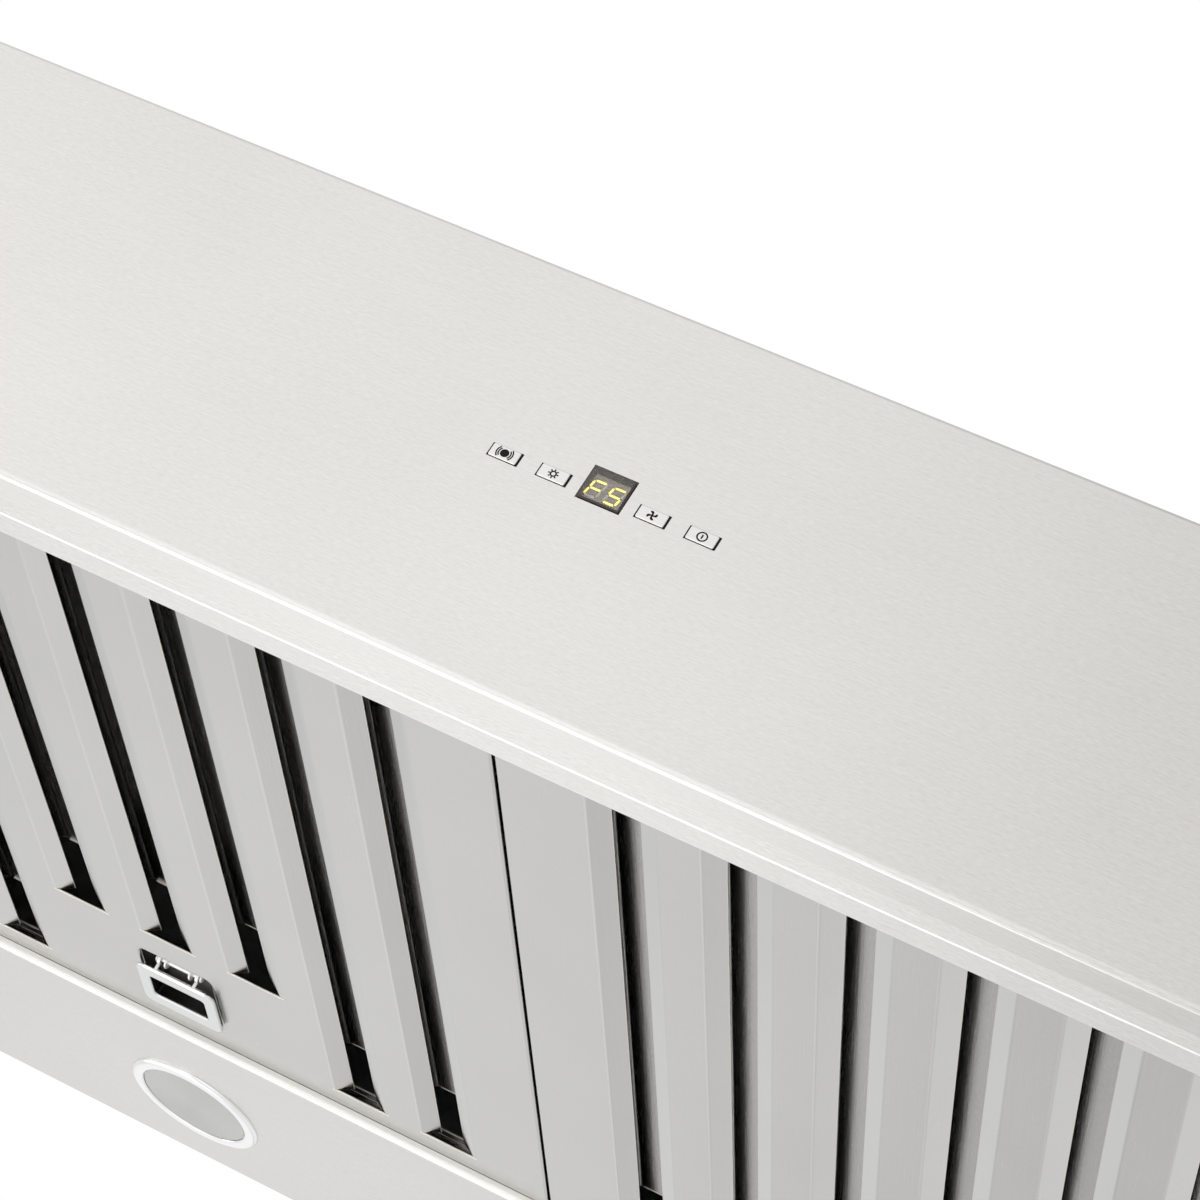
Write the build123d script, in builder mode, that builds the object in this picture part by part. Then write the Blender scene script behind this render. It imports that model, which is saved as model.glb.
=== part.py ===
from build123d import *
from math import cos, radians, sin, tan
import os

# Wall mount range hood, a box body with baffle filters and twin blowers.
# Millimetres. X runs along the hood, -Y is the cook's side, +Z is up.
# The wall is the plane Y = 0, and the origin is the middle of the wall screws.

os.makedirs("parts", exist_ok=True)

# Body: 30 inches wide and 22 inches deep, folded from sheet
width = 762.0
depth = 559.0
height = 168.0
hang_height = 108.0
sheet = 1.0
bend = 2.35
fit_gap = 0.3
half_width = width / 2
inner_x = half_width - sheet
front_y = -depth
base_z = -hang_height
top_z = base_z + height

# Wall screws, at the spacing of house studs, and the cable entry
screw_spacing_x = 406.4
screw_spacing_z = 76.2
screw_hole_r = 3.5

# Front panel: lip under the front face, and the ledge that carries the filters
lip_flange = 26.4
ledge_reach = 18.9
ledge_rise = 2.95
side_return = 15.0
top_flange = 14.0
ledge_y = front_y + lip_flange + ledge_reach

# Side panels
side_flange = 17.4
flange_upturn = 4.0
lap = 12.0
rear_flange = 20.0
rear_flange_margin = 4.0

# Rear panel under the wall end, with the lamps, and the rail at its front edge
rear_panel_depth = 136.3
rail_height = 3.95
rail_return = 12.0
rail_bend = 2.0
rail_hem_bend = 1.2
rear_panel_upturn = 8.0
rail_y = -rear_panel_depth

# Back panel
back_flange = 16.0
back_flange_margin = 26.0
back_flange_half = half_width - back_flange_margin

# Baffle filters: pressed trays with slots, hat shaped baffles behind the slots
filter_gap = 1.2
filter_side_gap = 2.0
filter_front_offset = 20.0
filter_overlap = 9.0
filter_height = 12.0
filter_sheet = 0.8
filter_bend = 1.6
filter_corner = 2.0
filter_hem = 6.0
filter_hem_edge = 0.6
filter_rest_gap = 0.35
slot_count = 7
slot_pitch = 44.0
slot_gap = 11.0
flap_run = 7.6
flap_rise = 4.0
flap_bend = 1.6
flap_land = 0.4
flap_relief = 0.4
slot_start = 42.0
long_slot_margin = 12.9
short_slot_margin = 82.7
baffle_flat = 17.0
baffle_start = 30.0
baffle_setback = 30.0
bar_width = 18.0
bar_inset = 1.5
bar_margin = 22.0
filter_width = half_width - side_flange - filter_side_gap - filter_gap / 2
filter_x = (filter_gap + filter_width) / 2
slot_start_y = front_y + slot_start
baffle_start_y = front_y + baffle_start
long_slot_y = rail_y - long_slot_margin
short_slot_y = rail_y - short_slot_margin
filter_z = base_z + rail_height + filter_rest_gap
filter_front_y = front_y + filter_front_offset
filter_rear_y = rail_y + filter_overlap
filter_length = filter_rear_y - filter_front_y
filter_mid_y = (filter_rear_y + filter_front_y) / 2

# Folding handle in a dish at the rear of each filter
dish_width = 35.6
dish_length = 44.4
dish_margin = 63.1
dish_depth = 9.0
dish_corner = 3.0
dish_rim = 4.0
ear_x = 6.2
ear_thickness = 1.0
ear_r = 3.3
pin_setback = 7.6
pin_rise = 3.1
pin_r = 1.3
pin_half = 12.0
pin_head_r = 2.2
pin_head = 1.0
pin_fit = 0.05
handle_width = 40.0
handle_length = 33.6
handle_setback = 1.4
handle_bar = 7.5
handle_leg = 5.8
handle_thickness = 1.6
handle_drop = 3.2
handle_corner = 4.0
handle_edge = 0.6
arm_x = 9.7
arm_width = 1.8
arm_depth = 3.4
knuckle_r = 2.6
dish_front_y = rail_y - dish_margin
dish_mid_y = dish_front_y + dish_length / 2
pin_y = dish_front_y + pin_setback
pin_z = filter_z + pin_rise
handle_front_y = pin_y + handle_setback
handle_mid_y = handle_front_y + handle_length / 2
handle_z = filter_z - handle_drop

# Controls in the front face: four buttons about a two digit display
control_pitch = 19.0
button_names = ("sensor_button", "light_button", "fan_button", "power_button")
button_slots = (-2, -1, 1, 2)
button_height = 86.35
button_hole = (12.0, 5.8)
button_play = 0.7
button_side_play = 0.3
button_proud = 1.0
button_edge = 0.6
button_travel = 0.8
button_flange = (14.0, 8.0)
button_flange_thickness = 1.2
button_retainer_gap = 0.3
plunger_r = 1.5
plunger_gap = 0.1
display_height = 89.2
display_hole = (17.0, 15.0)
display_play = 0.4
display_proud = 0.8
display_corner = 0.8
window_flange = (19.0, 17.0)
window_flange_thickness = 2.0
digit_recess = 3.2
module_size = (15.0, 14.0)
frame_size = (112.0, 26.0)
frame_depth = 8.0
pocket_play = 0.4
board_margin = 2.0
board_thickness = 1.6
cover_depth = 15.0
cover_wall = 1.4
switch_size = 6.0
switch_body = 3.6
switch_stem_r = 1.6
switch_stem = 0.8
stud_x = 62.5
stud_r = 1.5
stud_length = 8.0
stud_ear = (14.0, 12.0)
stud_ear_thickness = 3.0
nut_width = 5.5
nut_height = 2.4
button_z = base_z + button_height
display_z = base_z + display_height
panel_inner_y = front_y + sheet
frame_back_y = panel_inner_y + frame_depth

# Blowers: flat volutes hung from the top, wheels on upright shafts
wheel_x = 205.0
wheel_y = -246.0
wheel_r = 75.0
blade_inner_r = 61.0
blade_count = 24
blade_thickness = 1.0
blade_lean = 8.0
blade_belly = 0.38
ring_thickness = 2.0
wheel_height = 64.0
wheel_floor_gap = 8.0
dish_top_r = 53.0
dish_foot_r = 49.0
hub_r = 11.0
hub_height = 12.0
hub_above = 4.0
hub_drop = 44.0
blade_inset = 0.4
wheel_sheet = 1.0
volute_step = 11.0
volute_r = 86.0
tongue_angle = 50.0
volute_sheet = 0.8
shaft_tail = 2.0
volute_floor = 78.0
volute_height = 78.0
inlet_r = 57.0
inlet_plate_r = 68.0
inlet_rise = 9.0
inlet_flare = 6.0
motor_plate_rim = 6.0
motor_r = 43.0
motor_height = 39.0
motor_edge = 4.0
motor_boss_r = 14.0
motor_boss = 4.0
shaft_r = 4.0
shaft_fit = 0.02
isolator_r = 7.0
isolator_circle_r = 66.0
grommet_r = 6.0
volute_z = base_z + volute_floor
volute_top_z = volute_z + volute_height
motor_plate_z = volute_top_z + sheet
top_panel_z = top_z - 2 * sheet
wheel_z = volute_z + wheel_floor_gap
wheel_top_z = wheel_z + wheel_height
hub_plate_z = wheel_top_z - hub_drop
hub_z = hub_plate_z + hub_above - hub_height

# Plenum between the volutes, and the round duct collar over it
duct_y = -190.0
plenum_half = 79.0
plenum_length = 160.0
plenum_floor = 70.0
plenum_flange = 10.0
collar_r = 75.0
collar_height = 44.0
collar_flange = 14.0
duct_hole_r = 76.0
volute_reach = wheel_x - plenum_half

# Back draught damper: two half round flaps on one rod
damper_height = 14.0
rod_r = 2.0
rod_fit = 0.05
rod_inset = 0.2
flap_r = 71.0
flap_sheet = 0.8
flap_knuckle_r = 3.2
knuckle_length = 33.0
knuckle_gap = 0.5
stop_size = (6.0, 8.0)
damper_z = top_panel_z + sheet + damper_height

# Lamps in the rear panel
lamp_x = half_width / 2
lamp_y = -61.0
lamp_hole_r = 30.0
lamp_body_r = 29.4
lamp_body_height = 20.0
lamp_flange_r = 33.0
lamp_fins = 2
fin_depth = 4.0
bezel_r = 34.0
bezel_inner_r = 27.5
bezel_thickness = 1.6
bezel_edge = 1.0
lens_r = 27.2
lens_thickness = 1.0

# Electrical boxes under the top panel
box_size = (110.0, 80.0)
box_side_gap = 76.0
box_front_gap = 79.0
box_x = half_width - box_side_gap - box_size[0] / 2
box_y = front_y + box_front_gap + box_size[1] / 2
box_depth = 42.0
box_lip = 8.0
driver_size = (100.0, 38.0)
driver_height = 24.0
driver_ear = 9.0
driver_ear_thickness = 2.0
gland_hole_r = 11.1
gland_fit = 0.2
gland_bore_r = 6.0
gland_body_r = 8.0
gland_seal = 12.0
gland_nut_r = 14.0
gland_dome = 15.0
gland_locknut = 4.0
capacitor_size = (38.0, 18.0, 28.0)
capacitor_spacing = 24.0
block_size = (44.0, 20.0, 14.0)
block_poles = 3
terminal_r = 4.0
terminal_depth = 5.0


def bent_sheet(plane, points, bends, thickness, side):
    """Section of a sheet folded along points, which lie on one of its faces."""
    with BuildSketch(plane) as section:
        with BuildLine():
            fold = FilletPolyline(*points, radius=bends)
            offset(fold, amount=thickness, side=side)
        make_face()
    return section.sketch


def creased_sheet(plane, points, thickness, side):
    """The same with sharp creases, as in a spun or pressed part."""
    with BuildSketch(plane) as section:
        with BuildLine():
            crease = Polyline(*points)
            offset(crease, amount=thickness, side=side, kind=Kind.INTERSECTION)
        make_face()
    return section.sketch


def mirrored(piece):
    """The same piece for the other side of the hood."""
    with BuildPart() as copy:
        mirror(piece, about=Plane.YZ)
    return copy.part


def save(part, label):
    part.label = label
    export_step(part, f"parts/{label}.step")


def button_x(slot):
    return slot * control_pitch


# Body panels
def make_front_panel():
    ledge_x = inner_x - fit_gap
    with BuildPart() as panel:
        with BuildSketch(Plane.XZ.offset(depth)):
            with Locations((0, (base_z + top_z) / 2)):
                Rectangle(width, height)
        extrude(amount=-lip_flange)
        front_edges = panel.edges().group_by(Axis.Y)[0]
        corner_edges = panel.edges().filter_by(Axis.Y)
        fillet(front_edges + corner_edges, bend)
        offset(amount=-sheet, openings=panel.faces().sort_by(Axis.Y)[-1])
        # The returns and the top flange are shorter than the lip
        with BuildSketch(Plane.XY.offset(base_z)):
            with Locations((0, front_y + side_return)):
                Rectangle(width, lip_flange, align=(Align.CENTER, Align.MIN))
                Rectangle(2 * ledge_x, lip_flange, align=(Align.CENTER, Align.MIN), mode=Mode.SUBTRACT)
        extrude(amount=height, mode=Mode.SUBTRACT)
        with BuildSketch(Plane.XY.offset(base_z + sheet)):
            with Locations((0, front_y + side_return)):
                Rectangle(width, lip_flange, align=(Align.CENTER, Align.MIN))
        extrude(amount=height, mode=Mode.SUBTRACT)
        lip_end = front_y + lip_flange
        ledge_path = [
            (lip_end - bend, base_z),
            (lip_end, base_z),
            (ledge_y, base_z + ledge_rise),
        ]
        ledge = bent_sheet(Plane.YZ.offset(-ledge_x), ledge_path, bend, sheet, Side.LEFT)
        extrude(ledge, amount=2 * ledge_x)
        # Windows for the buttons and the display
        with BuildSketch(Plane.XZ.offset(depth)):
            with Locations(*[(button_x(slot), button_z) for slot in button_slots]):
                Rectangle(*button_hole)
            with Locations((0, display_z)):
                Rectangle(*display_hole)
        extrude(amount=-bend, mode=Mode.SUBTRACT)
        # Welded studs for the control frame
        with BuildSketch(Plane.XZ.offset(-panel_inner_y)):
            with Locations((-stud_x, display_z), (stud_x, display_z)):
                Circle(stud_r)
        extrude(amount=-stud_length)
    return panel.part


def make_side_panel():
    flange_x = half_width - side_flange
    path = [
        (half_width - top_flange, top_z),
        (half_width, top_z),
        (half_width, base_z),
        (flange_x, base_z),
        (flange_x, base_z + flange_upturn),
    ]
    length = depth - side_return - sheet
    with BuildPart() as panel:
        section = bent_sheet(Plane.XZ.offset(sheet), path, [bend, bend, rail_bend], sheet, Side.RIGHT)
        extrude(section, amount=length)
        # The lower flange stops at the front ledge and at the rear rail
        for start, end in ((front_y, ledge_y + fit_gap), (rail_y - fit_gap, 0)):
            with BuildSketch(Plane.XY.offset(base_z - sheet)):
                with Locations((inner_x, start)):
                    Rectangle(side_flange, end - start, align=(Align.MAX, Align.MIN))
            extrude(amount=flange_upturn + 2 * sheet, mode=Mode.SUBTRACT)
        # Lap behind the return of the front panel, where the two are welded
        with BuildSketch(Plane.YZ.offset(inner_x - sheet)):
            with Locations((front_y + bend, (base_z + top_z) / 2)):
                lap_height = height - 2 * (bend + lap)
                Rectangle(side_return + lap - bend, lap_height, align=(Align.MIN, Align.CENTER))
        extrude(amount=sheet)
        # Flange that the back panel is fixed to
        with BuildSketch(Plane.XZ.offset(sheet)):
            with Locations((inner_x, (base_z + top_z) / 2)):
                flange_height = height - 2 * (rear_flange_margin + sheet)
                Rectangle(rear_flange, flange_height, align=(Align.MAX, Align.CENTER))
        extrude(amount=sheet)
    return panel.part


def make_top_panel():
    edge_x = half_width - bend - fit_gap
    with BuildPart() as panel:
        with BuildSketch(Plane.XY.offset(top_panel_z)):
            with Locations((0, front_y + bend)):
                Rectangle(2 * edge_x, depth - bend, align=(Align.CENTER, Align.MIN))
            with Locations((0, duct_y)):
                Circle(duct_hole_r, mode=Mode.SUBTRACT)
            with Locations((box_x, box_y)):
                Circle(gland_hole_r, mode=Mode.SUBTRACT)
        extrude(amount=sheet)
    return panel.part


def make_back_panel():
    low_z = base_z + sheet
    high_z = top_panel_z
    path = [(-back_flange, low_z), (0, low_z), (0, high_z), (-back_flange, high_z)]
    with BuildPart() as panel:
        section = bent_sheet(Plane.YZ.offset(-back_flange_half), path, bend, sheet, Side.LEFT)
        extrude(section, amount=2 * back_flange_half)
        with BuildSketch(Plane.XZ):
            with Locations((0, (low_z + high_z) / 2)):
                Rectangle(width, high_z - low_z)
                Rectangle(2 * back_flange_half, high_z - low_z, mode=Mode.SUBTRACT)
        extrude(amount=sheet)
        with BuildSketch(Plane.XZ):
            with GridLocations(screw_spacing_x, screw_spacing_z, 2, 2):
                Circle(screw_hole_r)
        extrude(amount=sheet, mode=Mode.SUBTRACT)
    return panel.part


def make_rear_panel():
    path = [
        (0, base_z),
        (rail_y, base_z),
        (rail_y, base_z + rail_height),
        (rail_y + rail_return, base_z + rail_height),
    ]
    edge_x = inner_x - fit_gap
    with BuildPart() as panel:
        section = bent_sheet(Plane.YZ.offset(-edge_x), path, [rail_bend, rail_hem_bend], sheet, Side.RIGHT)
        extrude(section, amount=2 * edge_x)
        with BuildSketch(Plane.XY.offset(base_z)):
            with Locations((-lamp_x, lamp_y), (lamp_x, lamp_y)):
                Circle(lamp_hole_r)
        extrude(amount=sheet, mode=Mode.SUBTRACT)
        # Upturned ends, fixed to the side panels
        with BuildSketch(Plane.XY.offset(base_z)):
            with Locations((-edge_x + sheet / 2, rail_y / 2), (edge_x - sheet / 2, rail_y / 2)):
                Rectangle(sheet, -rail_y - 2 * back_flange)
        extrude(amount=rear_panel_upturn)
    return panel.part


# Baffle filters
def slot_x(center_x, index):
    return center_x + (index - (slot_count - 1) / 2) * slot_pitch


def slot_end(index):
    """The slots in front of the handle stop short of it."""
    beside_handle = abs(index - (slot_count - 1) / 2) <= 1
    return short_slot_y if beside_handle else long_slot_y


def make_filter_tray(center_x):
    slope = flap_rise / flap_run
    bend_run = flap_bend * slope / (1 + (1 + slope**2) ** 0.5) + flap_land
    outer = slot_gap / 2 + flap_run
    with BuildPart() as tray:
        with BuildSketch(Plane.XY.offset(filter_z)):
            with Locations((center_x, filter_mid_y)):
                RectangleRounded(filter_width, filter_length, filter_corner)
        extrude(amount=filter_height)
        fillet(tray.faces().sort_by(Axis.Z)[0].edges(), filter_bend)
        chamfer(tray.faces().sort_by(Axis.Z)[-1].edges(), filter_hem_edge)
        inner_corner = filter_corner - filter_sheet
        with BuildSketch(Plane.XY.offset(filter_z + filter_sheet)):
            with Locations((center_x, filter_mid_y)):
                inner = (filter_width - 2 * filter_sheet, filter_length - 2 * filter_sheet)
                RectangleRounded(*inner, inner_corner)
        extrude(amount=filter_height - 2 * filter_sheet, mode=Mode.SUBTRACT)
        with BuildSketch(Plane.XY.offset(filter_z + filter_height / 2)):
            with Locations((center_x, filter_mid_y)):
                mouth = (filter_width - 2 * filter_hem, filter_length - 2 * filter_hem)
                RectangleRounded(*mouth, filter_corner)
        extrude(amount=filter_height, mode=Mode.SUBTRACT)
        # Slots, and the opening that the handle dish sits behind
        with BuildSketch(Plane.XY.offset(filter_z)):
            for index in range(slot_count):
                with Locations((slot_x(center_x, index), slot_start_y)):
                    size = (2 * (outer + bend_run), slot_end(index) - slot_start_y)
                    Rectangle(*size, align=(Align.CENTER, Align.MIN))
            with Locations((center_x, dish_mid_y)):
                RectangleRounded(dish_width, dish_length, dish_corner)
        extrude(amount=filter_sheet, mode=Mode.SUBTRACT)
        # Flaps on both sides of each slot, folded up into the tray
        for index in range(slot_count):
            x = slot_x(center_x, index)
            end_y = slot_end(index) - flap_relief
            run = slot_end(index) - slot_start_y - 2 * flap_relief
            flap_z = filter_z + flap_rise
            left = [(x - outer - bend_run, filter_z), (x - outer, filter_z), (x - slot_gap / 2, flap_z)]
            right = [(x + slot_gap / 2, flap_z), (x + outer, filter_z), (x + outer + bend_run, filter_z)]
            for path in (left, right):
                flap = bent_sheet(Plane.XZ.offset(-end_y), path, flap_bend, filter_sheet, Side.LEFT)
                extrude(flap, amount=run)
    return tray.part


def make_rear_baffles(center_x):
    high_z = filter_z + filter_height
    low_z = high_z - flap_rise
    with BuildPart() as baffles:
        for index in range(slot_count):
            x = slot_x(center_x, index)
            inner = baffle_flat / 2
            outer = inner + flap_run
            path = [(x - outer, low_z), (x - inner, high_z), (x + inner, high_z), (x + outer, low_z)]
            end_y = slot_end(index) - baffle_setback
            hat = creased_sheet(Plane.XZ.offset(-end_y), path, filter_sheet, Side.RIGHT)
            extrude(hat, amount=end_y - baffle_start_y)
        # Two bars across, riveted to the hem of the tray
        bar_ys = (baffle_start_y + bar_margin, short_slot_y - baffle_setback - bar_margin)
        with BuildSketch(Plane.XY.offset(high_z)):
            with Locations(*[(center_x, bar_y) for bar_y in bar_ys]):
                Rectangle(filter_width - 2 * bar_inset, bar_width)
        extrude(amount=filter_sheet)
    return baffles.part


def make_handle_dish(center_x):
    floor_z = filter_z + filter_sheet
    outer = (dish_width + 2 * filter_sheet, dish_length + 2 * filter_sheet)
    with BuildPart() as dish:
        with BuildSketch(Plane.XY.offset(floor_z)):
            with Locations((center_x, dish_mid_y)):
                RectangleRounded(dish_width + 2 * dish_rim, dish_length + 2 * dish_rim, dish_corner)
        extrude(amount=filter_sheet)
        with BuildSketch(Plane.XY.offset(floor_z)):
            with Locations((center_x, dish_mid_y)):
                RectangleRounded(*outer, dish_corner + filter_sheet)
        extrude(amount=dish_depth)
        chamfer(dish.faces().sort_by(Axis.Z)[-1].edges(), filter_sheet / 2)
        with BuildSketch(Plane.XY.offset(floor_z)):
            with Locations((center_x, dish_mid_y)):
                RectangleRounded(dish_width, dish_length, dish_corner)
        extrude(amount=dish_depth - filter_sheet, mode=Mode.SUBTRACT)
        # Two ears hold the hinge pin, joined by a web in front of it
        ear_height = floor_z + dish_depth - filter_sheet - pin_z
        for side in (-1, 1):
            face_x = center_x + side * ear_x - ear_thickness / 2
            with BuildSketch(Plane.YZ.offset(face_x)):
                with Locations((pin_y, pin_z)):
                    Circle(ear_r)
                    Rectangle(2 * ear_r, ear_height, align=(Align.CENTER, Align.MIN))
                    Circle(pin_r + pin_fit, mode=Mode.SUBTRACT)
            extrude(amount=ear_thickness)
        with BuildSketch(Plane.XY.offset(pin_z)):
            with Locations((center_x, pin_y - ear_r)):
                Rectangle(2 * ear_x, ear_thickness, align=(Align.CENTER, Align.MIN))
        extrude(amount=ear_height)
    return dish.part


def make_handle_pin(center_x):
    with BuildPart() as pin:
        with BuildSketch(Plane.YZ.offset(center_x - pin_half)):
            with Locations((pin_y, pin_z)):
                Circle(pin_r)
        extrude(amount=2 * pin_half)
        for start in (center_x - pin_half, center_x + pin_half - pin_head):
            with BuildSketch(Plane.YZ.offset(start)):
                with Locations((pin_y, pin_z)):
                    Circle(pin_head_r)
            extrude(amount=pin_head)
    return pin.part


def make_handle(center_x):
    """Flat loop with two arms that curl round the pin."""
    with BuildPart() as handle:
        with BuildSketch(Plane.XY.offset(handle_z)):
            with Locations((center_x, handle_mid_y)):
                RectangleRounded(handle_width, handle_length, handle_corner)
            window = (handle_width - 2 * handle_leg, handle_length - 2 * handle_bar)
            with Locations((center_x, handle_mid_y)):
                RectangleRounded(*window, handle_corner / 2, mode=Mode.SUBTRACT)
        extrude(amount=handle_thickness)
        chamfer(handle.faces().sort_by(Axis.Z)[0].edges(), handle_edge)
        for side in (-1, 1):
            face_x = center_x + side * arm_x - arm_width / 2
            with BuildSketch(Plane.YZ.offset(face_x)):
                with Locations((pin_y, handle_z + handle_thickness / 2)):
                    arm_height = pin_z - handle_z - handle_thickness / 2
                    Rectangle(arm_depth, arm_height, align=(Align.MIN, Align.MIN))
                with Locations((pin_y, pin_z)):
                    Circle(knuckle_r)
                    Circle(pin_r + pin_fit, mode=Mode.SUBTRACT)
            extrude(amount=arm_width)
    return handle.part


# Controls
def make_button(slot):
    x = button_x(slot)
    flange_y = panel_inner_y + button_retainer_gap
    plunger_y = frame_back_y - switch_body - switch_stem - button_travel - plunger_gap
    cap = (button_hole[0] - 2 * button_play, button_hole[1] - 2 * button_side_play)
    with BuildPart() as button:
        with BuildSketch(Plane.XZ.offset(-flange_y)):
            with Locations((x, button_z)):
                Rectangle(*cap)
        extrude(amount=flange_y - front_y + button_proud)
        fillet(button.faces().sort_by(Axis.Y)[0].edges(), button_edge)
        with BuildSketch(Plane.XZ.offset(-flange_y)):
            with Locations((x, button_z)):
                Rectangle(*button_flange)
        extrude(amount=-button_flange_thickness)
        with BuildSketch(Plane.XZ.offset(-flange_y)):
            with Locations((x, button_z)):
                Circle(plunger_r)
        extrude(amount=flange_y - plunger_y)
    return button.part


def make_display_window():
    block = (display_hole[0] - 2 * display_play, display_hole[1] - 2 * display_play)
    with BuildPart() as window:
        with BuildSketch(Plane.XZ.offset(-panel_inner_y)):
            with Locations((0, display_z)):
                RectangleRounded(*block, display_corner)
        extrude(amount=sheet + display_proud)
        with BuildSketch(Plane.XZ.offset(-panel_inner_y)):
            with Locations((0, display_z)):
                Rectangle(*window_flange)
        extrude(amount=-window_flange_thickness)
    return window.part


def make_display_module():
    face_y = front_y + digit_recess
    with BuildPart() as module:
        with BuildSketch(Plane.XZ.offset(-face_y)):
            with Locations((0, display_z)):
                Rectangle(*module_size)
        extrude(amount=face_y - frame_back_y)
    return module.part


def make_control_frame():
    with BuildPart() as frame:
        with BuildSketch(Plane.XZ.offset(-panel_inner_y)):
            with Locations((0, display_z)):
                Rectangle(*frame_size)
        extrude(amount=-frame_depth)
        with BuildSketch(Plane.XZ.offset(-panel_inner_y)):
            with Locations((-stud_x, display_z), (stud_x, display_z)):
                Rectangle(*stud_ear)
        extrude(amount=-stud_ear_thickness)
        with BuildSketch(Plane.XZ.offset(-panel_inner_y)):
            with Locations((-stud_x, display_z), (stud_x, display_z)):
                Circle(stud_r + pocket_play)
            with Locations(*[(button_x(slot), button_z) for slot in button_slots]):
                Rectangle(button_flange[0] + 2 * pocket_play, button_flange[1] + 2 * pocket_play)
            with Locations((0, display_z)):
                Rectangle(module_size[0] + 2 * pocket_play, module_size[1] + 2 * pocket_play)
        extrude(amount=-frame_depth, mode=Mode.SUBTRACT)
        with BuildSketch(Plane.XZ.offset(-panel_inner_y)):
            with Locations((0, display_z)):
                Rectangle(window_flange[0] + pocket_play, window_flange[1] + pocket_play)
        extrude(amount=-window_flange_thickness, mode=Mode.SUBTRACT)
    return frame.part


def make_control_board():
    with BuildPart() as board:
        with BuildSketch(Plane.XZ.offset(-frame_back_y)):
            with Locations((0, display_z)):
                Rectangle(frame_size[0] - 2 * board_margin, frame_size[1] - 2 * board_margin)
        extrude(amount=-board_thickness)
    return board.part


def make_tact_switches():
    with BuildPart() as switches:
        for size, reach in (((switch_size, switch_size), switch_body), (None, switch_body + switch_stem)):
            with BuildSketch(Plane.XZ.offset(-frame_back_y)):
                with Locations(*[(button_x(slot), button_z) for slot in button_slots]):
                    if size:
                        Rectangle(*size)
                    else:
                        Circle(switch_stem_r)
            extrude(amount=reach)
    return switches.part


def make_control_cover():
    with BuildPart() as cover:
        with BuildSketch(Plane.XZ.offset(-frame_back_y)):
            with Locations((0, display_z)):
                Rectangle(*frame_size)
        extrude(amount=-cover_depth)
        fillet(cover.edges().filter_by(Axis.Y), 2 * cover_wall)
        offset(amount=-cover_wall, openings=cover.faces().sort_by(Axis.Y)[0])
    return cover.part


def make_control_nuts():
    with BuildPart() as nuts:
        with BuildSketch(Plane.XZ.offset(-panel_inner_y - stud_ear_thickness)):
            with Locations((-stud_x, display_z), (stud_x, display_z)):
                RegularPolygon(nut_width / 2, 6, major_radius=False)
                Circle(stud_r + pin_fit, mode=Mode.SUBTRACT)
        extrude(amount=-nut_height)
    return nuts.part


# Blowers, made for the left side and mirrored to the right
def wheel_axis():
    return Axis((-wheel_x, wheel_y, 0), (0, 0, 1))


def wheel_section():
    """Upright plane through the wheel's axis, its local x being the radius."""
    return Plane((-wheel_x, wheel_y, 0), x_dir=(1, 0, 0), z_dir=(0, -1, 0))


def volute_outline(z, grow=0.0):
    """Four quarter arcs of growing radius round the wheel, then the outlet."""
    half = volute_step / 2
    centers = ((half, -half), (-half, -half), (-half, half), (half, half))
    arc_radii = [volute_r + grow + turn * volute_step for turn in range(len(centers))]
    tongue = (
        centers[0][0] + volute_r * cos(radians(tongue_angle)),
        centers[0][1] + volute_r * sin(radians(tongue_angle)),
    )
    start = tongue_angle
    if grow:
        start = 90.0 - (90.0 - tongue_angle) * volute_r / (volute_r + grow)
    with BuildSketch(Plane((-wheel_x, wheel_y, z))) as outline:
        with BuildLine():
            first = CenterArc(centers[0], arc_radii[0], start, -start)
            CenterArc(centers[1], arc_radii[1], 0, -90)
            CenterArc(centers[2], arc_radii[2], -90, -90)
            last = CenterArc(centers[3], arc_radii[3], 180, -90)
            reach = volute_reach
            Line(last @ 1, (reach, (last @ 1).Y))
            Line((reach, (last @ 1).Y), (reach, (first @ 0).Y))
            Line((reach, (first @ 0).Y), first @ 0)
        make_face()
    return outline.sketch, tongue


def make_volute():
    outer, tongue = volute_outline(volute_z)
    inner, _ = volute_outline(volute_z + volute_sheet, -volute_sheet)
    top_y = volute_step / 2 + volute_r + 3 * volute_step
    with BuildPart() as volute:
        extrude(outer, amount=volute_height)
        extrude(inner, amount=volute_height, mode=Mode.SUBTRACT)
        # The outlet's end is open
        with BuildSketch(Plane((-wheel_x, wheel_y, volute_z + volute_sheet))):
            with Locations((volute_reach, (tongue[1] + top_y) / 2)):
                Rectangle(2 * motor_plate_rim, top_y - tongue[1] - 2 * volute_sheet)
        extrude(amount=volute_height, mode=Mode.SUBTRACT)
        # Bell mouth of the inlet, rolled up into the wheel's eye
        with BuildSketch(Plane((-wheel_x, wheel_y, volute_z))):
            Circle(inlet_plate_r - volute_sheet)
        extrude(amount=volute_sheet, mode=Mode.SUBTRACT)
        path = [
            (inlet_plate_r, volute_z),
            (inlet_r + inlet_flare, volute_z),
            (inlet_r + inlet_flare / 4, volute_z + inlet_flare / 4),
            (inlet_r, volute_z + inlet_flare),
            (inlet_r, volute_z + inlet_rise),
        ]
        mouth = creased_sheet(wheel_section(), path, volute_sheet, Side.RIGHT)
        revolve(mouth, axis=wheel_axis())
    return volute.part


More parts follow.
